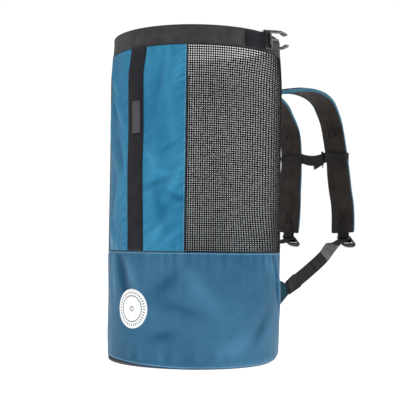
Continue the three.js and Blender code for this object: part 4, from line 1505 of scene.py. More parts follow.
@dataclass
class FrontPanel:
    """The bright cloth front with its webbing, bare label and edge stitches."""

    work: Workshop
    columns: int = 110
    rows: int = 130
    gap: float = 0.3 * MM
    webbing_width: float = 40 * MM
    webbing: float = 1.5 * MM
    label_width: float = 21 * MM
    label_side: float = 1.0
    label_height: float = 62 * MM
    label_top: float = 508 * MM
    wander: tuple[tuple[float, float], ...] = (
        (0.22, 1.6), (0.28, 1.1), (0.347, 0.3), (0.386, 0.0), (0.444, 0.7), (0.503, 0.3), (0.561, -0.1), (0.6, 1.6),
        (0.612, 1.8),
    )

    folds: tuple[Any, ...] = (
        Sag(0.5 * MM, 5, tallest=0.12),
        Puckers(611.85 * MM, 30 * MM, 24 * MM, 0.8 * MM, 11),
        Puckers(220.15 * MM, 24 * MM, 20 * MM, 0.7 * MM, 12, 1),
        Fold(-25, 0.560, 0.055, 0.010, 6.8 * MM, -28),
        Fold(-30, 0.520, 0.07, 0.012, -6.2 * MM, -30),
        Fold(-20, 0.505, 0.06, 0.011, 5.7 * MM, -34),
        Fold(-28, 0.440, 0.08, 0.014, 5.7 * MM, -20),
        Fold(-18, 0.420, 0.07, 0.012, -5.7 * MM, -22),
        Fold(-26, 0.350, 0.08, 0.014, -5.7 * MM, 16),
        Fold(-17, 0.330, 0.07, 0.012, 4.9 * MM, 20),
        Fold(-27, 0.270, 0.05, 0.012, 4.9 * MM, -18),
        SeamPuckers(36.2, 16 * MM, 13 * MM, 1.1 * MM, 51, -1),
        SeamPuckers(7.2, 13 * MM, 15 * MM, 0.9 * MM, 52, 1, -0.6),
        SeamPuckers(-6.6, 16 * MM, 16 * MM, 1.2 * MM, 53, -1, 0.7),
        Fold(15, 0.350, 0.035, 0.009, -3.0 * MM, 70),
        Fold(29, 0.326, 0.032, 0.008, -3.0 * MM, -62),
        Fold(21, 0.372, 0.03, 0.008, 2.6 * MM, -75),
        Fold(19, 0.262, 0.05, 0.010, 3.2 * MM, 42),
        Fold(28, 0.252, 0.035, 0.008, 2.8 * MM, 52),
        Fold(12, 0.402, 0.022, 0.008, 2.8 * MM, -34),
        Fold(26, 0.420, 0.03, 0.008, -2.4 * MM, 60),
        Fold(18, 0.545, 0.09, 0.012, -2.3 * MM, 8),
        Fold(26, 0.480, 0.09, 0.012, 2.3 * MM, -6),
        Fold(15, 0.400, 0.10, 0.013, 2.1 * MM, 6),
        Fold(28, 0.350, 0.06, 0.012, 3.1 * MM, 30),
        Fold(20, 0.300, 0.08, 0.014, -2.6 * MM, -16),
        Fold(30, 0.560, 0.04, 0.010, 2.6 * MM, 24),
    )

    def lean(self, z: np.ndarray) -> np.ndarray:
        """Angle of the webbing's middle in degrees: it is drawn sideways just below the band."""
        heights, turns = np.array(self.wander).T
        return sum(np.interp(z + off, heights, turns) for off in (-0.014, -0.007, 0.0, 0.007, 0.014)) / 5

    def edge_lines(
        self, half: float, low: float, high: float, face: float, side: float = 0.0,
    ) -> list[np.ndarray]:
        """Lines of stitches up both edges of a strap on the front.

        Args:
            half: Distance from its middle to each line.
            low: Lowest height.
            high: Highest height.
            face: Distance of its face outside the wall.
            side: Degrees that it lies off the webbing's middle.

        Returns:
            The two lines.
        """
        off = self.work.shell.degrees(half)
        return [
            self.work.upright_line(lambda z, s=s: self.lean(z) + side + s * off, low, high, face) for s in (-1, 1)
        ]

    def strip(
        self, name: str, low: float, high: float, width: float, thickness: float, lift: Any,
        material: bpy.types.Material, side: float = 0.0,
    ) -> bpy.types.Object:
        """Lays a strap up the wall.

        Args:
            name: Name of the piece.
            low: Lowest height.
            high: Highest height.
            width: Its width.
            thickness: Its thickness.
            lift: Distance of its middle outside the wall.
            material: Its material.
            side: Degrees that it lies off the middle.

        Returns:
            The strap.
        """
        shell = self.work.shell
        z = np.linspace(low, high, int((high - low) / (6 * MM)) + 2)
        outline = rounded_section(width, thickness, 10)
        angle = self.lean(z)[:, None] + side + shell.degrees(outline[None, :, 0])
        height = np.broadcast_to(z[:, None], angle.shape)
        points = shell.points(angle, height, lift + outline[None, :, 1])
        laid = np.stack([np.broadcast_to(outline[None, :, 0], angle.shape), height], axis=-1)
        return tube_piece(name, points, laid, (material,))

    def build(self) -> None:
        """Makes the panel and what is sewn on it."""
        shell, finishes, work = self.work.shell, self.work.finishes, self.work
        low, high = shell.panel_span
        sheet = WallSheet(
            "front_cloth_panel", shell, rim_steps(-shell.front_half, shell.front_half, self.columns, 0.4),
            rim_steps(low, high, self.rows, 1.2 * MM), self.folds,
        )
        plain = sheet.relief

        def pressed(angle: np.ndarray, z: np.ndarray) -> np.ndarray:
            """Folds that the webbing holds flat where it is sewn down."""
            off = np.abs(shell.arc(angle - self.lean(z)))
            return plain(angle, z) * ease(off, self.webbing_width / 2 - 3 * MM, self.webbing_width / 2 + 9 * MM)

        sheet.relief = pressed
        deliver(sheet.build(finishes.front, finishes.coating), Slot.FRONT, "front_panel")
        lift = self.gap + self.webbing / 2
        strap = self.strip("front_webbing_woven", low, high, self.webbing_width, self.webbing, lift, finishes.webbing)
        deliver(strap, Slot.WEBBING, "front_webbing")
        top = self.gap + self.webbing + 0.35 * MM
        label = self.strip(
            "bare_woven_label", self.label_top - self.label_height, self.label_top, self.label_width, 0.8 * MM,
            top + 0.25 * MM, finishes.label, self.label_side,
        )
        deliver(label, Slot.LABEL, "label_tag")
        face = self.gap + self.webbing + 0.1 * MM
        edges = self.edge_lines(self.webbing_width / 2 - 2.4 * MM, low + 2 * MM, high - 2 * MM, face)
        tag = self.edge_lines(
            self.label_width / 2 - 1.6 * MM, self.label_top - self.label_height + 2 * MM, self.label_top - 2 * MM,
            top + 0.7 * MM, self.label_side,
        )
        work.sew(Slot.WEBBING, "front_webbing_stitches", edges + tag, finishes.black_thread, 3.0 * MM, 0.5 * MM)
        sides = [
            work.upright_line(s * (shell.front_half - 1.1), low + 1.5 * MM, high - 1.5 * MM, sheet.above(0.12 * MM))
            for s in (-1, 1)
        ]
        work.sew(Slot.FRONT, "front_edge_stitches", sides, finishes.blue_thread, 4.4 * MM, 0.8 * MM, 3)


@dataclass
class BackPanel:
    """The black back with its pale lining, and the anchors where the shoulder pads are sewn."""

    work: Workshop
    columns: int = 120
    rows: int = 110
    anchor_below_band: float = 50 * MM
    anchor_half: float = 34.0
    anchor_width: float = 34 * MM
    anchor: float = 2.4 * MM

    folds: tuple[Any, ...] = (
        Sag(0.5 * MM, 31, tallest=0.12),
        Puckers(611.85 * MM, 26 * MM, 24 * MM, 0.7 * MM, 14),
        Puckers(220.15 * MM, 24 * MM, 22 * MM, 0.7 * MM, 15, 1),
        Fold(160, 0.42, 0.10, 0.03, -1.4 * MM, 10),
        Fold(200, 0.42, 0.10, 0.03, -1.4 * MM, -10),
        Fold(180, 0.36, 0.10, 0.05, 1.0 * MM, 0),
    )

    def build(self) -> None:
        """Makes the panel and its edge stitches."""
        shell, finishes, work = self.work.shell, self.work.finishes, self.work
        low, high = shell.panel_span
        sheet = WallSheet(
            "back_cloth_panel", shell, rim_steps(180 - shell.back_half, 180 + shell.back_half, self.columns, 0.4),
            rim_steps(low, high, self.rows, 1.2 * MM), self.folds,
        )
        deliver(sheet.build(finishes.back, finishes.lining), Slot.BACK, "back_panel")
        sides = [
            work.upright_line(180 + s * (shell.back_half - 2.2), low + 2 * MM, high - 2 * MM, sheet.above(0.1 * MM))
            for s in (-1, 1)
        ]
        work.sew(Slot.BACK, "back_edge_stitches", sides, finishes.black_thread, 3.6 * MM, 0.6 * MM, 5)
        self.build_anchor()

    def build_anchor(self) -> None:
        """Lays the webbing across the back that the roots of both shoulder pads are sewn under."""
        shell, finishes, work = self.work.shell, self.work.finishes, self.work
        root = shell.band_bottom - self.anchor_below_band
        turn = np.linspace(180 - self.anchor_half, 180 + self.anchor_half, 60)
        at = shell.points(turn, np.full(turn.shape, root), 0.4 * MM + self.anchor / 2)
        frames = squared(at, unit(np.gradient(at, axis=0)), np.broadcast_to(Z, at.shape))
        section = rounded_section(self.anchor_width, self.anchor, 10)
        deliver(swept("pad_anchor_woven", frames, section, (finishes.strap,)), Slot.WEBBING)
        face = 0.5 * MM + self.anchor
        lines = [
            work.level_line(turn[0] + 1, turn[-1] - 1, root + side * (self.anchor_width / 2 - 3 * MM), face)
            for side in (-1, 1)
        ]
        work.sew(Slot.WEBBING, "pad_anchor_stitches", lines, finishes.black_thread, 3.4 * MM, 0.6 * MM, 6)


@dataclass
class TopBand:
    """The webbing band round the open top, in two halves sewn at the side seams."""

    work: Workshop
    columns: int = 180
    rows: int = 16

    def build(self) -> None:
        """Makes both halves, the stitches along the band's edges and a dark strand of painted shade below its lower
        edge.
        """
        shell, finishes, work = self.work.shell, self.work.finishes, self.work
        for word, middle, lined in (("front", 0.0, False), ("back", 180.0, True)):
            sheet = WallSheet(
                f"top_band_{word}_woven", shell, rim_steps(middle - 89.95, middle + 89.95, self.columns, 0.3),
                rim_steps(shell.band_bottom + shell.seam, shell.height, self.rows, 1.2 * MM),
                (Sag(0.5 * MM, 41, 7, 0.2),), edge=3 * MM,
            )
            inside = finishes.lining if lined else finishes.band
            deliver(sheet.build(finishes.band, inside), Slot.BAND, f"top_band_{word}")
        heights = (shell.band_bottom + 3.2 * MM, shell.height - 3.0 * MM)
        lines = [work.level_line(-180, 180, z, 0.22 * MM) for z in heights]
        work.sew(Slot.BAND, "band_stitches", lines, finishes.black_thread, 3.4 * MM, 0.55 * MM, 7)
        # A dark strand just below the band: painted shade.
        shade = work.level_line(-180, 180, shell.band_bottom - 0.1 * MM, 0.1 * MM)
        work.lay(Slot.BAND, "band_lower_edge", [shade], finishes.binding, 0.6 * MM)


@dataclass
class SideNet:
    """One open net side: round coated strands woven over and under, and the tapes at its edges."""

    work: Workshop
    side: Side
    pitch: float = 4.25 * MM
    strand: float = 2.36 * MM
    weave: float = 0.28 * MM
    slack: float = 9 * MM
    slack_end: float = 121.0
    growth: tuple[tuple[float, float], ...] = ((60, 1.03), (80, 1.22), (100, 1.36))
    seen_from: float = 42.0
    widest: float = 2.75
    thicker: tuple[float, float] = (0.12, 0.45)
    crowding: float = 0.05
    tape_width: float = 2.6 * MM
    tape: float = 1.2 * MM

    def build(self) -> None:
        """Makes the net and its two tapes."""
        shell, finishes, work = self.work.shell, self.work.finishes, self.work
        low, high = shell.tub_height + 0.6 * MM, shell.band_bottom - 0.6 * MM
        start, end = shell.front_half + 0.25, 180 - shell.back_half - 0.25
        fine = np.linspace(start, end, 400)
        turns, growths = np.array(self.growth).T
        seen = np.maximum(np.cos((fine - self.seen_from) * DEGREE), 0.05)
        stretch = np.clip(np.interp(fine, turns, growths) / seen, growths[0], self.widest)
        count = np.concatenate([[0.0], np.cumsum(np.diff(fine) / stretch[1:])])
        columns = int(round(shell.arc(count[-1]) / self.pitch))
        rows = int(round((high - low) / self.pitch))
        places = np.interp(np.linspace(0, count[-1], columns + 1), count, fine)
        up = np.linspace(0, 1, rows + 1)
        up = up * (1 - self.crowding) + up**2 * self.crowding
        angle, z = np.meshgrid(places, low + (high - low) * up, indexing="ij")
        odd = np.where((np.add.outer(np.arange(columns + 1), np.arange(rows + 1)) % 2) == 0, 1.0, -1.0)
        hang = np.sin(np.pi * np.clip((angle - start) / (self.slack_end - start), 0, 1))
        hang = hang * ease(z, low, low + 90 * MM) * ease(high - z, 0.0, 60 * MM)
        middle = -shell.cloth / 2 - self.slack * hang
        over = shell.points(angle * self.side.value, z, middle + odd * self.weave)
        under = shell.points(angle * self.side.value, z, middle - odd * self.weave)
        lines = [over[:, j] for j in range(rows + 1)] + [under[i] for i in range(columns + 1)]
        wide = (np.interp(places, fine, stretch) - stretch[0]) / (self.widest - stretch[0])
        level, upright = self.thicker
        thick = [1 + level * wide] * (rows + 1) + [np.full(rows + 1, 1 + upright * share) for share in wide]
        net = work.strands.run(wire_piece(f"net_{self.side.word}", lines, thick), self.strand / 2, 6, finishes.net)
        deliver(net, Slot.NET, f"net_panel_{self.side.word}")
        for word, place in (("front", shell.front_half), ("back", 180 - shell.back_half)):
            self.build_tape(word, place * self.side.value)

    def build_tape(self, word: str, place: float) -> None:
        """Lays the tape over the seam beside the net.

        Args:
            word: Which seam it covers.
            place: Angle of the seam in degrees.
        """
        shell, finishes = self.work.shell, self.work.finishes
        z = np.linspace(shell.tub_height + 0.3 * MM, shell.band_bottom - 0.3 * MM, 70)
        at = shell.points(np.full(z.shape, place), z, 0.3 * MM + self.tape / 2)
        along = unit(np.gradient(at, axis=0))
        turn = place * DEGREE
        sideways = np.broadcast_to(np.array([math.cos(turn), math.sin(turn), 0.0]), at.shape)
        frames = squared(at, along, sideways)
        section = rounded_section(self.tape_width, self.tape, 4)
        tape = swept(f"{word}_tape_{self.side.word}", frames, section, (finishes.binding,))
        deliver(tape, Slot.WEBBING, f"{word}_binding_{self.side.word}")


@dataclass(frozen=True)
class Route:
    """A smooth centre line through points, measured along its length."""

    places: np.ndarray
    shares: np.ndarray
    length: float

    @staticmethod
    def through(points: np.ndarray, fine: int = 60) -> "Route":
        """Runs a centripetal curve through points.

        Args:
            points: The points.
            fine: Steps between two points.

        Returns:
            The route.
        """
        first, last = 2 * points[0] - points[1], 2 * points[-1] - points[-2]
        every = np.concatenate([[first], points, [last]])
        places = []
        for k in range(len(points) - 1):
            p0, p1, p2, p3 = every[k : k + 4]
            d0, d1, d2 = (max(np.linalg.norm(b - a) ** 0.5, 1e-6) for a, b in ((p0, p1), (p1, p2), (p2, p3)))
            t1 = ((p1 - p0) / d0 - (p2 - p0) / (d0 + d1) + (p2 - p1) / d1) * d1
            t2 = ((p2 - p1) / d1 - (p3 - p1) / (d1 + d2) + (p3 - p2) / d2) * d1
            t = np.linspace(0, 1, fine + 1)[: fine + (k == len(points) - 2), None]
            places.append(p1 + t1 * t + (-3 * p1 + 3 * p2 - 2 * t1 - t2) * t**2 + (2 * p1 - 2 * p2 + t1 + t2) * t**3)
        line = np.concatenate(places)
        run = np.concatenate([[0.0], np.cumsum(np.linalg.norm(np.diff(line, axis=0), axis=1))])
        return Route(line, run / run[-1], float(run[-1]))

    def at(self, share: Any) -> np.ndarray:
        """Points at shares of the length."""
        return np.stack([np.interp(share, self.shares, self.places[:, k]) for k in range(3)], axis=-1)

    def along(self, share: Any) -> np.ndarray:
        """Directions of travel at shares of the length.

        Args:
            share: The shares.

        Returns:
            Directions of length one.
        """
        share = np.clip(np.asarray(share, dtype=float), 0.0, 1.0)
        ahead, back = np.minimum(share + 0.002, 1.0), np.maximum(share - 0.002, 0.0)
        return unit(self.at(ahead) - self.at(back))


def turned_about(vectors: np.ndarray, axes: np.ndarray, angle: Any) -> np.ndarray:
    """Vectors turned about axes.

    Args:
        vectors: The vectors.
        axes: Unit axes of the same shape.
        angle: Angle in radians, a number or one for each.

    Returns:
        The turned vectors.
    """
    angle = np.asarray(angle)[..., None]
    dot = np.sum(vectors * axes, axis=-1, keepdims=True)
    return vectors * np.cos(angle) + np.cross(axes, vectors) * np.sin(angle) + axes * dot * (1 - np.cos(angle))


@dataclass
class Harness:
    """Sizes and centre lines that the shoulder straps share: the solids' own, a few of them refitted to the photo."""

    work: Workshop
    fit: float = 0.3 * MM
    webbing: float = 1.5 * MM
    pad_width: float = 59.5 * MM
    pad_thickness: float = 9 * MM
    pad_end: float = 14 * MM
    root_below_band: float = 50 * MM
    reach: float = 262 * MM
    rise: float = 22 * MM
    drop: float = 294 * MM
    spread: float = 79 * MM
    pad_webbing: float = 25 * MM
    lock_drop: float = 13 * MM
    lock_tilt: float = 58.0
    made_tilt: float = 35.0
    lock_bar: float = 4 * MM
    lock_pitch: float = 14 * MM
    adjuster: float = 28 * MM
    slack: float = 0.4 * MM
    tab_angle: float = 146.0
    tab_height: float = 130 * MM
    tab_length: float = 70 * MM
    tab_reach: float = 45 * MM
    tab_tip_rise: float = 11 * MM
    tab_thickness: float = 3 * MM
    twist_start: float = 0.64
    twist_end: float = 0.86
    # Stretch of the adjuster in the pale copy: a painted highlight where the webbing twists.
    worn_from: float = 0.6
    worn_to: float = 0.79
    tail_start: float = 17 / 18
    tail_end: float = 0.42
    facing: float = -28.0
    sternum_share: float = 0.66
    sternum_width: float = 25 * MM
    sternum_sag: float = 7 * MM
    sternum_slant: float = 10.0
    loop_clearance: float = 0.4 * MM
    pad_route: tuple[tuple[float, float, float], ...] = (
        (0.59, 0.0, 0.0), (0.604, 0.103, 0.27), (0.642, 0.27, 0.7), (0.704, 0.438, 1.0), (0.755, 0.571, 0.93),
        (0.792, 0.667, 0.64), (0.811, 0.75, 0.09), (0.811, 0.811, -0.054), (0.796, 0.87, -0.126),
        (0.786, 0.903, -0.187), (0.796, 0.93, -0.276), (0.855, 0.966, -0.483), (0.918, 0.983, -0.673),
        (0.956, 0.998, -0.776), (0.981, 1.0, -0.888), (1.0, 0.99, -1.0),
    )
    adjuster_route: tuple[tuple[float, float], ...] = (
        (0.0, 0.0), (0.1, 0.104), (0.364, 0.387), (0.588, 0.66), (0.736, 0.9), (0.88, 0.99), (1.0, 1.0),
    )

    def __post_init__(self) -> None:
        """Lays out the pad's and the adjuster's centre lines."""
        shell = self.work.shell
        root = shell.band_bottom - self.root_below_band
        wall = float(shell.wall_radius(root)) + self.fit
        rows = np.array(self.pad_route)
        rise = rows[:, 2] * np.where(rows[:, 2] > 0, self.rise, self.drop)
        places = np.stack([rows[:, 0] * self.spread, wall + rows[:, 1] * self.reach, root + rise], axis=-1)
        self.pad = Route.through(places)
        end = self.pad_frames(np.array([1.0]))
        self.end_across, self.end_along = end.across[0], self.pad.along(1.0)
        self.end_through = end.through[0]
        self.lock_down = turned_about(self.end_along[None], self.end_across[None], self.lock_tilt * DEGREE)[0]
        self.lock_top = end.at[0] + self.end_along * self.lock_drop
        self.lock_middle = self.lock_top + self.lock_down * self.lock_pitch
        self.tab_root = shell.points(self.tab_angle, self.tab_height, self.fit)
        out = self.lock_middle - self.tab_root
        out[2] = 0.0
        self.tab_out = out / np.linalg.norm(out)
        self.tab_tip = self.tab_root + self.tab_out * self.tab_reach + Z * self.tab_tip_rise
        self.bar_radius = math.hypot(self.lock_bar, 4 * MM) / 2 + self.fit + self.webbing / 2 + self.slack
        goal = self.lock_middle - Z * self.bar_radius
        rows = np.array(self.adjuster_route)
        line = self.tab_tip + (goal - self.tab_tip) * rows[:, :1]
        line[:, 2] = self.tab_tip[2] + (goal[2] - self.tab_tip[2]) * rows[:, 1]
        self.adjuster_line = Route.through(line)

    def pad_frames(self, shares: np.ndarray) -> Frames:
        """Frames of the right pad: across is sideways and through points away from the bag."""
        at, along = self.pad.at(shares), self.pad.along(shares)
        return squared(at, along, np.broadcast_to(X, at.shape))

    def adjuster_frames(self, shares: np.ndarray) -> Frames:
        """Frames of the right adjuster webbing: upright at the tab and flat at the lock.

        Args:
            shares: Shares of its length from the tab to the lock.

        Returns:
            The frames.
        """
        at, along = self.adjuster_line.at(shares), self.adjuster_line.along(shares)
        flat = squared(at, along, np.broadcast_to(X, at.shape))
        turn = (1 - ease(shares, self.twist_start, self.twist_end)) * math.pi / 2
        turn = turn + self.facing * DEGREE * ease(shares, 0.02, 0.22) * (1 - ease(shares, 0.6, 0.9))
        return squared(at, along, turned_about(flat.across, along, turn))

    def wrap(self, centre: np.ndarray, radius: float, start: np.ndarray, forward: np.ndarray) -> Frames:
        """Frames half way round a bar that lies across.

        Args:
            centre: Middle of the bar.
            radius: Distance of the webbing's middle from it.
            start: Direction from the bar to the first frame.
            forward: Direction from the bar to the middle frame.

        Returns:
            The frames.
        """
        turn = np.linspace(0, math.pi, 14)[:, None]
        out = start * np.cos(turn) + forward * np.sin(turn)
        return Frames(centre + out * radius, np.broadcast_to(self.end_across, out.shape), out)


@dataclass
class ShoulderStrap:
    """One shoulder strap: pad, its webbing, ladder lock, adjuster with its tail, keeper and tab."""

    harness: Harness
    side: Side
    steps: int = 150
    crown: float = 1.0 * MM
    corner: float = 4 * MM
    overhang: float = 3 * MM
    turned_edge: float = 0.5
    flare: float = 2.6 * MM
    flare_span: tuple[float, float] = (0.67, 0.74)
    even_span: tuple[float, float] = (-0.004, 0.95)
    webbing_start: float = 1 / 13
    boxes: tuple[tuple[float, float], ...] = ((0.155, 0.215), (0.485, 0.56), (0.905, 0.965))
    keeper_span: tuple[float, float] = (6 * MM, 46 * MM)
    keeper_rows: tuple[int, ...] = (1, 6, -2)

    def flared(self, shares: np.ndarray) -> np.ndarray:
        """How far the edge towards -X stands out below the sternum loop."""
        return self.flare * ease(shares, *self.flare_span)[:, None]

    def pad_sections(self, shares: np.ndarray) -> tuple[np.ndarray, np.ndarray]:
        """Crowned sections of the pad, softly uneven, with round corners at the lower end.

        Args:
            shares: Shares of the pad's length.

        Returns:
            The outline at each share, and for each of its points whether it is on the inner face.
        """
        h = self.harness
        w, t = h.pad_width / 2, h.pad_thickness / 2
        inner = np.linspace(-1, 1, 17)
        crown = self.crown * np.abs(inner) ** 3.2
        roll = 0.45 * MM * np.exp(-(((np.abs(inner) - 0.93) / 0.05) ** 2))
        base = [*zip(inner * (w - 1.6 * MM), -t + crown + roll)]
        side = [(w - 0.5 * MM, -t + 2.3 * MM), (w, -0.8 * MM), (w - 0.1 * MM, 1.4 * MM), (w - 1.4 * MM, t - 1.4 * MM)]
        outer = [*zip(inner * (w - 3.4 * MM), t - 0.9 * crown)][::-1]
        outline = np.array(base + side + outer + [(-x, y) for x, y in side[::-1]])
        inner_face = np.array([True] * (len(base) + 1) + [False] * (len(outline) - len(base) - 2) + [True])
        distance = (shares[-1] - shares) * h.pad.length
        cut = self.corner * (1 - np.sqrt(np.clip(1 - (1 - np.clip(distance / self.corner, 0, 1)) ** 2, 0, 1)))
        narrow = (h.pad_width - 1.5 * cut) / h.pad_width
        sections = np.repeat(outline[None], len(shares), axis=0)
        sections[..., 0] *= narrow[:, None] * np.where(outline[:, 0] < 0, 1 + self.flared(shares) / w, 1.0)
        place = shares[:, None] * h.pad.length
        soft = 0.35 * MM * np.sin(place / (23 * MM) + outline[None, :, 0] / (9 * MM)) * np.sin(place / (61 * MM) + 1.1)
        puff = 1 - 0.35 * np.exp(-(((distance[:, None]) / (9 * MM)) ** 2))
        sections[..., 1] = sections[..., 1] * puff + soft * np.sign(sections[..., 1]) * 0.8
        return sections, inner_face

    def build_pad(self) -> None:
        """Makes the pad with its black inner face and blue outside, its edge piping and its sewn boxes."""
        h, finishes = self.harness, self.harness.work.finishes
        low, even = self.even_span
        close = 1 - (1 - even) * np.linspace(0.93, 0.0, 22) ** 1.6
        shares = np.concatenate([np.linspace(low, even, self.steps), close])
        shares[self.steps :] += self.overhang / h.pad.length
        inside = np.clip(shares, 0.0, 1.0)
        frames = h.pad_frames(inside)
        beyond = h.pad.along(inside) * ((shares - inside)[:, None] * h.pad.length)
        frames = Frames(frames.at + beyond, frames.across, frames.through)
        sections, inner = self.pad_sections(shares)
        frames = frames.mirrored(self.side)
        pad = swept(f"shoulder_pad_{self.side.word}_padded", frames, sections, (finishes.pad_cloth, finishes.spacer))
        size, n = sections.shape[1], len(shares)
        on_inner = np.zeros(len(pad.data.polygons), dtype=np.int32)
        both = np.tile(inner & np.roll(inner, -1), (n - 1, 1))
        upper = np.flatnonzero(shares[:-1] < self.turned_edge)
        # Above this share the blue cloth turns in over both edges: the last face of the inner side on each.
        both[np.ix_(upper, [np.flatnonzero(inner[:-1] & ~inner[1:])[0] - 1, size - 1])] = False
        on_inner[: (n - 1) * size] = both.ravel().astype(np.int32)
        pad.data.polygons.foreach_set("material_index", on_inner)
        deliver(pad, Slot.PAD, f"shoulder_pad_{self.side.word}")
        t = h.pad_thickness / 2
        sewn = np.linspace(0.004, 0.985, 160)
        edge = h.pad_frames(sewn)
        drop = (-t + 0.9 * MM + 2.5 * MM * ease(sewn, self.turned_edge - 0.08, self.turned_edge + 0.04))[:, None]
        edge = edge.lifted(drop).mirrored(self.side)
        reach = h.pad_width / 2 - 1.0 * MM
        lines = [edge.shifted(-reach - self.flared(sewn)).at, edge.shifted(reach).at]
        h.work.lay(Slot.PAD, f"pad_piping_{self.side.word}", lines, finishes.pad_cloth, 0.8 * MM, 8)
        boxes = [line for span in self.boxes for line in self.box_lines(*span, 8.5 * MM, -t + 0.15 * MM)]
        h.work.lay(Slot.PAD, f"pad_box_stitches_{self.side.word}", boxes, finishes.dark_thread, 0.95 * MM)

    def box_lines(self, low: float, high: float, half: float, lift: float) -> list[np.ndarray]:
        """A sewn box with a cross in it, on one face of the pad.

        Args:
            low: Share of the pad's length where it starts.
            high: Share where it ends.
            half: Half its width.
            lift: Distance from the pad's middle.

        Returns:
            Its lines.
        """
        shares = np.linspace(low, high, 14)
        frames = self.harness.pad_frames(shares).lifted(lift).mirrored(self.side)
        slide = np.linspace(-1, 1, len(shares))[:, None] * half
        ends = [frames.at[k] + frames.across[k] * np.linspace(-half, half, 6)[:, None] for k in (0, -1)]
        sides = [frames.at + frames.across * half * s for s in (-1, 1)]
        crosses = [frames.at + frames.across * slide * s for s in (-1, 1)]
        return ends + sides + crosses

    def build_pad_webbing(self) -> None:
        """Makes the webbing along the pad's outside, round the lock's top bar and back behind the pad."""
        h, finishes = self.harness, self.harness.work.finishes
        lift = h.pad_thickness / 2 + h.fit + h.webbing / 2
        front = h.pad_frames(np.linspace(self.webbing_start, 1, 150)).lifted(lift)
        radius = math.hypot(h.lock_bar, 4 * MM) / 2 + h.fit + h.webbing / 2
        wrap = h.wrap(h.lock_top, radius, h.end_through, h.end_along)
        rounding = h.pad_end / h.pad.length
        back = h.pad_frames(np.linspace(1 - rounding * 1.4, 1, 8)).lifted(-lift).reverse()
        frames = front.joined(wrap).joined(back).mirrored(self.side)
        section = rounded_section(h.pad_webbing, h.webbing)
        strap = swept(f"pad_webbing_{self.side.word}_woven", frames, section, (finishes.strap,))
        deliver(strap, Slot.WEBBING, f"pad_webbing_{self.side.word}")
        sewn = h.pad_frames(np.linspace(0.09, 0.985, 140)).lifted(lift + h.webbing / 2 + 0.05 * MM).mirrored(self.side)
        lines = [sewn.shifted(s * (h.pad_webbing / 2 - 2.2 * MM)).at for s in (-1, 1)]
        name = f"pad_webbing_stitches_{self.side.word}"
        h.work.sew(Slot.WEBBING, name, lines, finishes.black_thread, 3.0 * MM, 0.5 * MM, 11)

    def build_adjuster(self) -> None:
        """Makes the adjuster webbing with its tail, a pale stretch of painted highlight where it twists, and the
        stitches of its folded end.
        """
        h, finishes = self.harness, self.harness.work.finishes
        run, back = np.linspace(0, 1, 90), np.linspace(h.tail_end, h.tail_start, 60)[::-1]
        main, tail = h.adjuster_frames(run), h.adjuster_frames(back)
        main = Frames(main.at, main.across, -main.through)
        wrap = h.wrap(h.lock_middle, h.bar_radius, -Z, Y).after(1)
        layer = h.webbing + 2 * h.fit
        rise = layer + (2 * h.bar_radius - layer) * ease(back, h.twist_end, 1.0)
        frames = main.joined(wrap).joined(tail.lifted(rise[:, None])).mirrored(self.side)
        section = rounded_section(h.adjuster, h.webbing)
        strap = swept(f"adjuster_{self.side.word}_woven", frames, section, (finishes.strap, finishes.worn_strap))
        places = np.concatenate([run, np.ones(len(wrap.at)), back])
        # Faces on the twisted stretch take the pale copy: painted highlight.
        worn = (places[:-1] > h.worn_from) & (places[:-1] < h.worn_to)
        looks = np.zeros(len(strap.data.polygons), dtype=np.int32)
        looks[: worn.size * len(section)] = np.repeat(worn, len(section))
        strap.data.polygons.foreach_set("material_index", looks)
        deliver(strap, Slot.WEBBING, f"adjuster_webbing_{self.side.word}")
        marks, face = [], h.webbing / 2 + 0.05 * MM
        slide = np.linspace(-1, 1, 8)[:, None] * (h.adjuster / 2 - 2 * MM)
        for share in (h.tail_end + 0.012, h.tail_end + 0.10):
            one = h.adjuster_frames(np.array([share]))
            marks += [one.lifted(out).at + one.across * slide for out in (-face, layer + face)]
        name = f"tail_stitches_{self.side.word}"
        marks = [mark * self.side.flip for mark in marks]
        h.work.sew(Slot.WEBBING, name, marks, finishes.dark_thread, 2.4 * MM, 0.7 * MM, 13)

    def build_keeper(self) -> None:
        """Makes the sewn sleeve round the adjuster beside its tab, and its rows of stitches."""
        h, finishes = self.harness, self.harness.work.finishes
        shares = np.linspace(*self.keeper_span, 16) / h.adjuster_line.length
        frames = h.adjuster_frames(shares).mirrored(self.side)
        w, d = h.adjuster / 2 + h.loop_clearance, h.webbing / 2 + h.loop_clearance
        sleeve = sleeve_mesh(f"keeper_{self.side.word}_woven", frames, w, d, h.webbing, finishes.strap)
        deliver(sleeve, Slot.WEBBING, f"webbing_keeper_{self.side.word}")
        lines, face = [], d + h.webbing + 0.1 * MM
        slide = np.linspace(-1, 1, 10)[:, None] * (w - MM)
        for share in shares[list(self.keeper_rows)]:
            one = h.adjuster_frames(np.array([share])).mirrored(self.side)
            lines += [one.lifted(out).at + one.across * slide for out in (-face, face)]
        name = f"keeper_stitches_{self.side.word}"
        h.work.sew(Slot.WEBBING, name, lines, finishes.dark_thread, 2.2 * MM, 0.6 * MM, 15)

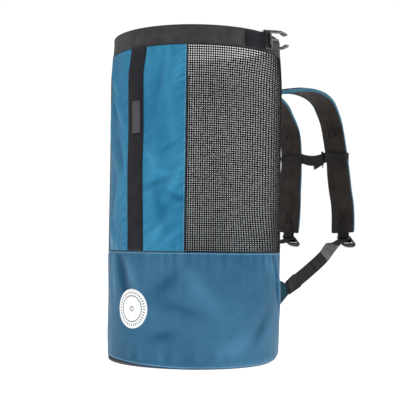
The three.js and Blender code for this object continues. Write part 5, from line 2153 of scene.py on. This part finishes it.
    def build_tab(self) -> None:
        """Makes the cloth triangle sewn to the tub, with its folded edges and edge stitches."""
        h, shell, finishes = self.harness, self.harness.work.shell, self.harness.work.finishes
        rows, columns = 18, 20
        tip = h.adjuster_frames(np.array([0.0]))
        tip_at = tip.at[0] - h.adjuster_line.along(0.0) * h.fit
        share = np.linspace(0, 1, rows)
        across = np.linspace(-1, 1, columns)
        wall_at = h.tab_root + Z * (across * h.tab_length / 2)[:, None]
        wall_at[:, 1] = np.sqrt((shell.wall_radius(wall_at[:, 2]) + h.fit) ** 2 - wall_at[:, 0] ** 2)
        sideways = np.array([h.tab_out[1], -h.tab_out[0], 0.0])
        end_across = tip.across[0] if tip.across[0][2] > 0 else -tip.across[0]
        end_at = tip_at + end_across * (across * h.adjuster / 2)[:, None]
        middle = wall_at[None] * (1 - share)[:, None, None] + end_at[None] * share[:, None, None]
        hem = ease(1 - np.abs(across), 0.0, 0.22)[None, :, None]
        wave = 0.8 * MM * np.sin(share * 5.2)[:, None, None] * hem
        middle = middle + sideways * wave
        half = (h.tab_thickness / 2) * (0.52 + 0.4 * (1 - hem) + 0.08 * hem)
        half = half * np.sqrt(np.clip(1 - np.abs(across) ** 18, 0.08, 1))[None, :, None]
        front, back = middle + sideways * half, middle - sideways * half
        laid = np.broadcast_arrays(across[None] * h.tab_length / 2, share[:, None] * h.tab_reach)
        laid = np.stack(laid, axis=-1).reshape(-1, 2)
        points = np.concatenate([front.reshape(-1, 3), back.reshape(-1, 3)]) * self.side.flip
        name, faces = f"strap_tab_{self.side.word}_cloth", np.concatenate(sheet_faces(rows, columns))
        tab = mesh_piece(name, points, faces, np.concatenate([laid, laid]), (finishes.tab,))
        mended(tab, lambda work: bmesh.ops.recalc_face_normals(work, faces=work.faces))
        deliver(tab, Slot.TUB, f"strap_tab_{self.side.word}")
        lines = []
        for column in (2, columns - 3):
            for face, turn in ((front, 1), (back, -1)):
                lines.append((face[1:, column] + sideways * turn * 0.1 * MM) * self.side.flip)
        h.work.sew(Slot.TUB, f"tab_stitches_{self.side.word}", lines, finishes.black_thread, 2.8 * MM, 0.5 * MM, 17)

    def build(self) -> None:
        """Makes every piece of the strap."""
        self.build_pad()
        self.build_pad_webbing()
        self.build_adjuster()
        self.build_keeper()
        self.build_tab()
        h = self.harness
        lock = moulded_copy(f"ladder_lock_{self.side.word}", 0.9 * MM, h.work.finishes.plastic)
        flip = Matrix.Diagonal((self.side.value, 1, 1, 1))
        pivot = Matrix.Translation(h.lock_top)
        turn = Matrix.Rotation((h.lock_tilt - h.made_tilt) * DEGREE, 4, Vector(h.end_across))
        lock.data.transform(flip @ pivot @ turn @ pivot.inverted() @ flip)
        deliver(lock, Slot.PLASTIC, f"ladder_lock_{self.side.word}")


def sleeve_mesh(
    name: str, frames: Frames, half_width: float, half_depth: float, thickness: float, material: bpy.types.Material,
) -> bpy.types.Object:
    """A flat sleeve with round edges that another strap passes through.

    Args:
        name: Name of the piece.
        frames: Its path.
        half_width: Half the width of the room in it.
        half_depth: Half the depth of the room in it.
        thickness: Thickness of its wall.
        material: Its material.

    Returns:
        The sleeve as a closed mesh.
    """
    outer = rounded_section(2 * (half_width + thickness), 2 * (half_depth + thickness), 12, 5)
    inner = rounded_section(2 * half_width, 2 * half_depth, 12, 5)
    n, size = len(frames.at), len(outer)
    total, last = n * size, (n - 1) * size
    points = np.concatenate([frames.points(outline).reshape(-1, 3) for outline in (outer, inner)])
    laid = np.stack(np.broadcast_arrays(outer[None, :, 0], frames.run[:, None]), axis=-1).reshape(-1, 2)
    a = np.arange(size)
    b = (a + 1) % size
    faces = np.concatenate([
        tube_faces(n, size), tube_faces(n, size, total, True), np.stack([a, total + a, total + b, b], axis=1),
        last + np.stack([a, b, total + b, total + a], axis=1),
    ])
    return mended(mesh_piece(name, points, faces, np.concatenate([laid, laid]), (material,)), face_outwards)


def merge_corners(work: bmesh.types.BMesh) -> None:
    """Merges the corners of a solid's triangles and its flat faces.

    Args:
        work: The mesh.
    """
    bmesh.ops.remove_doubles(work, verts=work.verts, dist=0.01 * MM)
    bmesh.ops.dissolve_limit(work, angle_limit=1.0 * DEGREE, verts=work.verts, edges=work.edges)
    bmesh.ops.recalc_face_normals(work, faces=work.faces)


def moulded_copy(node: str, round_edge: float, material: bpy.types.Material) -> bpy.types.Object:
    """A copy of a hard solid with merged corners and rounded edges.

    Args:
        node: The solid's node.
        round_edge: Radius of its edges.
        material: Its material.

    Returns:
        The rounded copy.
    """
    made = bpy.data.objects.new(f"{node}_moulded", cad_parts[node].data.copy())
    bpy.context.scene.collection.objects.link(made)
    mended(made, merge_corners)
    made.data.materials.clear()
    made.data.materials.append(material)
    bevel = made.modifiers.new("round edges", "BEVEL")
    bevel.width = round_edge
    bevel.segments = 3
    bevel.limit_method = "ANGLE"
    bevel.angle_limit = 25 * DEGREE
    bevel.use_clamp_overlap = True
    baked(made)
    made.data.polygons.foreach_set("use_smooth", np.ones(len(made.data.polygons), dtype=bool))
    made.data.set_sharp_from_angle(angle=32 * DEGREE)
    return made


@dataclass
class SternumStrap:
    """The strap across the chest: two loops round the pads, the webbing, its tail, slider and tip."""

    harness: Harness
    tail_span: tuple[float, float] = (7 * MM, 37 * MM)
    tail_drop: float = 10 * MM

    def loop_frame(self) -> tuple[Frames, np.ndarray]:
        """Lays out the slant of the right loop.

        Returns:
            Its frame, and the direction along the pad there.
        """
        h = self.harness
        one = h.pad_frames(np.array([h.sternum_share])).lifted((h.fit + h.webbing) / 2)
        along = h.pad.along(np.array([h.sternum_share]))
        turn = h.sternum_slant * DEGREE
        across, along = (turned_about(vectors, one.through, turn) for vectors in (one.across, along))
        return Frames(one.at, across, one.through), along

    def loop_half(self) -> float:
        """Half the width of a loop, with its webbing.

        Returns:
            The half width.
        """
        h = self.harness
        slant = h.sternum_slant * DEGREE
        return (h.pad_width * math.cos(slant) + h.sternum_width * math.sin(slant) / 2) / 2 + h.webbing / 2

    def frames(self, low: float, high: float, depth: float, drop: float) -> Frames:
        """Frames between the loops.

        Args:
            low: Share of the span where they start.
            high: Share where they end.
            depth: Distance outside the webbing's middle.
            drop: How far the last frame hangs down, in the plane of the webbing.

        Returns:
            The frames.
        """
        h = self.harness
        one, along = self.loop_frame()
        end = one.at[0] - one.across[0] * (self.loop_half() + h.fit)
        share = np.linspace(low, high, max(3, int(abs(high - low) * 40)))[:, None]
        side = 1 - 2 * share
        across = -along[0] * np.concatenate([side, np.ones_like(side), np.ones_like(side)], axis=1)
        at = np.concatenate([end[0] * side, np.full_like(side, end[1]), end[2] - h.sternum_sag * (1 - side**2)], axis=1)
        at = at - across * (drop * (share - low) / (high - low))
        through = unit(np.cross(across, np.broadcast_to(X, across.shape)))
        return Frames(at, across, through).lifted(depth)

    def build(self) -> None:
        """Makes every piece of the strap."""
        h, finishes = self.harness, self.harness.work.finishes
        one, along = self.loop_frame()
        depth = h.pad_thickness + h.fit + h.webbing + 2 * h.loop_clearance
        for side in Side:
            slide = np.linspace(-h.sternum_width / 2, h.sternum_width / 2, 10)[:, None]
            path = Frames(one.at + along * slide, *(np.repeat(v, 10, 0) for v in (one.across, one.through)))
            loop = sleeve_mesh(
                f"sternum_loop_{side.word}_woven", path.mirrored(side), self.loop_half() - h.webbing, depth / 2,
                h.webbing, finishes.strap,
            )
            deliver(loop, Slot.WEBBING, f"sternum_loop_{side.word}")
            face = one.at - one.through * (depth / 2 + h.webbing + 0.1 * MM)
            reach = one.across * np.linspace(-1, 1, 16)[:, None] * (self.loop_half() - 3 * MM)
            off = along * (h.sternum_width / 2 - 2 * MM)
            lines = [(face + off * sign + reach) * side.flip for sign in (-1, 1)]
            h.work.sew(Slot.WEBBING, f"loop_stitches_{side.word}", lines, finishes.black_thread, 2.8 * MM, 0.5 * MM, 19)
        section = rounded_section(h.sternum_width, h.webbing)
        strap = swept("sternum_webbing_woven", self.frames(0, 1, 0, 0), section, (finishes.strap,))
        deliver(strap, Slot.WEBBING, "sternum_webbing")
        span = 2 * self.frames(0, 1, 0, 0).at[0, 0]
        low, high = np.array(self.tail_span) / span
        path = self.frames(low, high, h.webbing + h.fit, self.tail_drop)
        deliver(swept("sternum_tail_woven", path, section, (finishes.strap,)), Slot.WEBBING, "sternum_tail")
        deliver(moulded_copy("sternum_slider", 0.9 * MM, finishes.plastic), Slot.PLASTIC, "sternum_slider")
        deliver(moulded_copy("sternum_tip", 0.7 * MM, finishes.tip), Slot.TIP, "sternum_tip")


@dataclass
class RollTopBuckle:
    """The two buckle halves at the band's side seams and the webbing tabs that hold them."""

    work: Workshop
    webbing: float = 1.5 * MM
    width: float = 38 * MM
    fit: float = 0.3 * MM
    made_out: float = 10 * MM
    bar_out: float = 0.0
    overlap: float = 12.0
    squeeze: float = 0.84
    stretch: float = 1.12
    lift: float = 3 * MM
    droop: float = 8.0

    def tab_frames(self) -> Frames:
        """Path of the right tab: out along the band, round the bar and back beneath itself.

        Returns:
            The path.
        """
        shell = self.work.shell
        z = shell.height - shell.band_height / 2
        radius = math.hypot(4 * MM, 6 * MM) / 2 + self.fit + self.webbing / 2
        out = float(shell.wall_radius(z)) + self.fit + self.webbing / 2 + radius
        bar = np.array([out, self.bar_out, z + self.lift])

        def on_band(angles: np.ndarray, offset: float) -> Frames:
            """Frames on the band at angles in degrees.

            Args:
                angles: Angles in degrees.
                offset: Distance outside the wall.

            Returns:
                The frames, which run along the band.
            """
            at = shell.points(angles, np.full(angles.shape, z), offset)
            heights = (shell.height, shell.band_bottom)
            top, bottom = (shell.points(angles, np.full(angles.shape, height), 0.0) for height in heights)
            up = unit(top - bottom)
            turn = angles * DEGREE
            along = np.stack([np.cos(turn), np.sin(turn), np.zeros_like(turn)], axis=-1)
            return Frames(at, up, np.cross(along, up))

        last = 90 - float(shell.degrees(self.made_out - self.bar_out))
        over = on_band(np.linspace(last - self.overlap, last, 12), 2 * self.fit + self.webbing * 1.5)
        under = on_band(np.linspace(last - self.overlap / 2, last, 8), self.fit + self.webbing / 2)
        up = over.across[-1]
        out = np.cross(Y, up)
        turn = np.linspace(-40, 180, 22)[:, None] * DEGREE
        ring = out * np.cos(turn) + Y * np.sin(turn)
        wrap = Frames(bar + ring * radius, np.broadcast_to(up, ring.shape), ring)
        return over.joined(wrap).joined(under.reverse())

    def build(self) -> None:
        """Makes the tabs and the halves."""
        finishes = self.work.finishes
        for side in Side:
            frames = self.tab_frames().mirrored(side)
            section = rounded_section(self.width * self.squeeze, self.webbing, 10)
            tab = swept(f"buckle_tab_{side.word}_woven", frames, section, (finishes.webbing,))
            deliver(tab, Slot.WEBBING, f"buckle_tab_{side.word}")
        for node in ("buckle_male", "buckle_female"):
            half = moulded_copy(node, 1.3 * MM, finishes.buckle)
            z = self.work.shell.height - self.work.shell.band_height / 2
            pivot = Matrix.Translation((0, self.made_out, z))
            place = Matrix.Translation((0, self.bar_out - self.made_out, self.lift))
            turn = Matrix.Rotation(self.droop * DEGREE, 4, "X") @ Matrix.Diagonal((1, self.stretch, self.squeeze, 1))
            half.data.transform(place @ pivot @ turn @ pivot.inverted())
            deliver(half, Slot.BUCKLE, node)


@dataclass(frozen=True)
class Softbox:
    """A large soft studio light."""

    name: str
    place: tuple[float, float, float]
    aim: tuple[float, float, float]
    size: float
    power: float

    def build(self) -> None:
        """Hangs the light."""
        lamp = bpy.data.lights.new(self.name, "AREA")
        lamp.shape = "DISK"
        lamp.size = self.size
        lamp.energy = self.power
        light = bpy.data.objects.new(self.name, lamp)
        bpy.context.scene.collection.objects.link(light)
        place = Vector(self.place)
        turn = (Vector(self.aim) - place).to_track_quat("-Z", "Y")
        light.matrix_world = Matrix.LocRotScale(place, turn, None)


@dataclass
class Studio:
    """White studio: floor, soft lights, white surroundings and the camera at the photo's angle."""

    azimuth: float = 42.0
    distance: float = 1.89
    camera_height: float = 0.236
    lens: float = 82.7
    # The photo's pixels over its focal length in pixels.
    yaw: float = 5 / 913
    pitch: float = 43 / 913
    roll: float = 0.75
    ambient: float = 0.22
    backdrop: float = 1.02
    glow: float = 0.33
    glow_place: tuple[float, float] = (-0.06, -0.01)
    glow_heights: tuple[float, ...] = (0.3, 0.51)

    def build(self) -> None:
        """Makes the floor, the lights, the surroundings and the camera."""
        self.build_floor()
        for light in (
            Softbox("left", (-1.5, -2.2, 1.3), (0, 0, 0.3), 0.7, 17.0),
            Softbox("right", (2.6, 0.2, 1.3), (0, 0, 0.3), 0.7, 22.0),
            Softbox("top", (0.1, -0.1, 2.3), (0, 0, 0.3), 0.8, 32.0),
            Softbox("rim", (1.1, 2.5, 1.4), (0, 0.2, 0.4), 1.4, 5.0),
        ):
            light.build()
        self.build_glow()
        self.build_world()
        self.build_camera()
        view = bpy.context.scene.view_settings
        view.view_transform = "Standard"
        view.look = "None"

    def build_glow(self) -> None:
        """Hangs two soft lamps in the open bag, so that its pale lining shows through the net."""
        for height in self.glow_heights:
            lamp = bpy.data.lights.new("inside", "POINT")
            lamp.energy = self.glow
            lamp.shadow_soft_size = 0.08
            light = bpy.data.objects.new("inside", lamp)
            light.location = (*self.glow_place, height)
            light.visible_camera = False
            bpy.context.scene.collection.objects.link(light)

    def build_floor(self) -> None:
        """Makes a wide pale floor."""
        turn = np.linspace(0, 2 * math.pi, 129)[:-1]
        radii = np.array([0.4, 1.2, 4.0, 14.0, 60.0])[:, None]
        rings = np.stack([radii * np.cos(turn), radii * np.sin(turn), 0 * radii * turn], axis=-1)
        points = np.concatenate([np.zeros((1, 3)), rings.reshape(-1, 3)]) - 0.4 * MM * Z
        first = np.arange(len(turn))
        middle = np.stack([0 * first, 1 + first, 1 + (first + 1) % len(turn)], axis=1)
        faces = [*middle, *tube_faces(len(radii), len(turn), 1, True)]
        g = Graph("pale_floor")
        grain = g.noise(g.space, 0.004, 2.0)
        finish = g.finish(
            base_color=g.blend(grain, (0.93, 0.93, 0.93, 1), (0.97, 0.97, 0.97, 1)), roughness=0.9,
            emission_color=(1.0, 1.0, 1.0, 1.0), emission_strength=0.92,
        )
        floor = mesh_piece("studio_floor", points, faces, None, (finish,))

    def build_world(self) -> None:
        """Makes white surroundings that show white behind the bag and light it softly."""
        world = bpy.data.worlds.new("white_studio")
        world.use_nodes = True
        bpy.context.scene.world = world
        world.node_tree.nodes.clear()
        g = NodeGraph(world.node_tree)
        seen, lit = (
            g.node("ShaderNodeBackground", {"Color": (1.0, 1.0, 1.0, 1.0), "Strength": strength}).outputs[0]
            for strength in (self.backdrop, self.ambient)
        )
        seen_share = g.node("ShaderNodeLightPath").outputs["Is Camera Ray"]
        mix = g.node("ShaderNodeMixShader", {"Fac": seen_share, 1: lit, 2: seen})
        g.node("ShaderNodeOutputWorld", {"Surface": mix.outputs[0]})

    def build_camera(self) -> None:
        """Sets the camera where the photo was taken from."""
        turn = self.azimuth * DEGREE
        back = Vector((math.sin(turn), -math.cos(turn), 0.0))
        right = Vector((math.cos(turn), math.sin(turn), 0.0))
        look = -back + right * self.yaw + Vector((0, 0, 1)) * self.pitch
        lens = bpy.data.cameras.new("photo_camera")
        lens.lens, lens.sensor_width = self.lens, 36.0
        camera = bpy.data.objects.new("photo_camera", lens)
        bpy.context.scene.collection.objects.link(camera)
        place = back * self.distance + Vector((0, 0, self.camera_height))
        facing = look.to_track_quat("-Z", "Y") @ Matrix.Rotation(self.roll * DEGREE, 3, "Z").to_quaternion()
        camera.matrix_world = Matrix.LocRotScale(place, facing, None)
        bpy.context.scene.camera = camera


def corners(box: tuple[Vector, Vector]) -> list[list[float]]:
    """A box as plain lists of numbers."""
    return [[float(v) for v in corner] for corner in box]


def main() -> None:
    logging.basicConfig(level=logging.INFO, format="%(name)s %(message)s")
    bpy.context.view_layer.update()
    work = Workshop()
    Base(work).build()
    Tub(work).build()
    FrontPanel(work).build()
    BackPanel(work).build()
    TopBand(work).build()
    for side in Side:
        SideNet(work, side).build()
    harness = Harness(work)
    for side in Side:
        ShoulderStrap(harness, side).build()
    SternumStrap(harness).build()
    RollTopBuckle(work).build()
    Studio().build()
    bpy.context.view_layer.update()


if __name__ == "__main__":
    main()
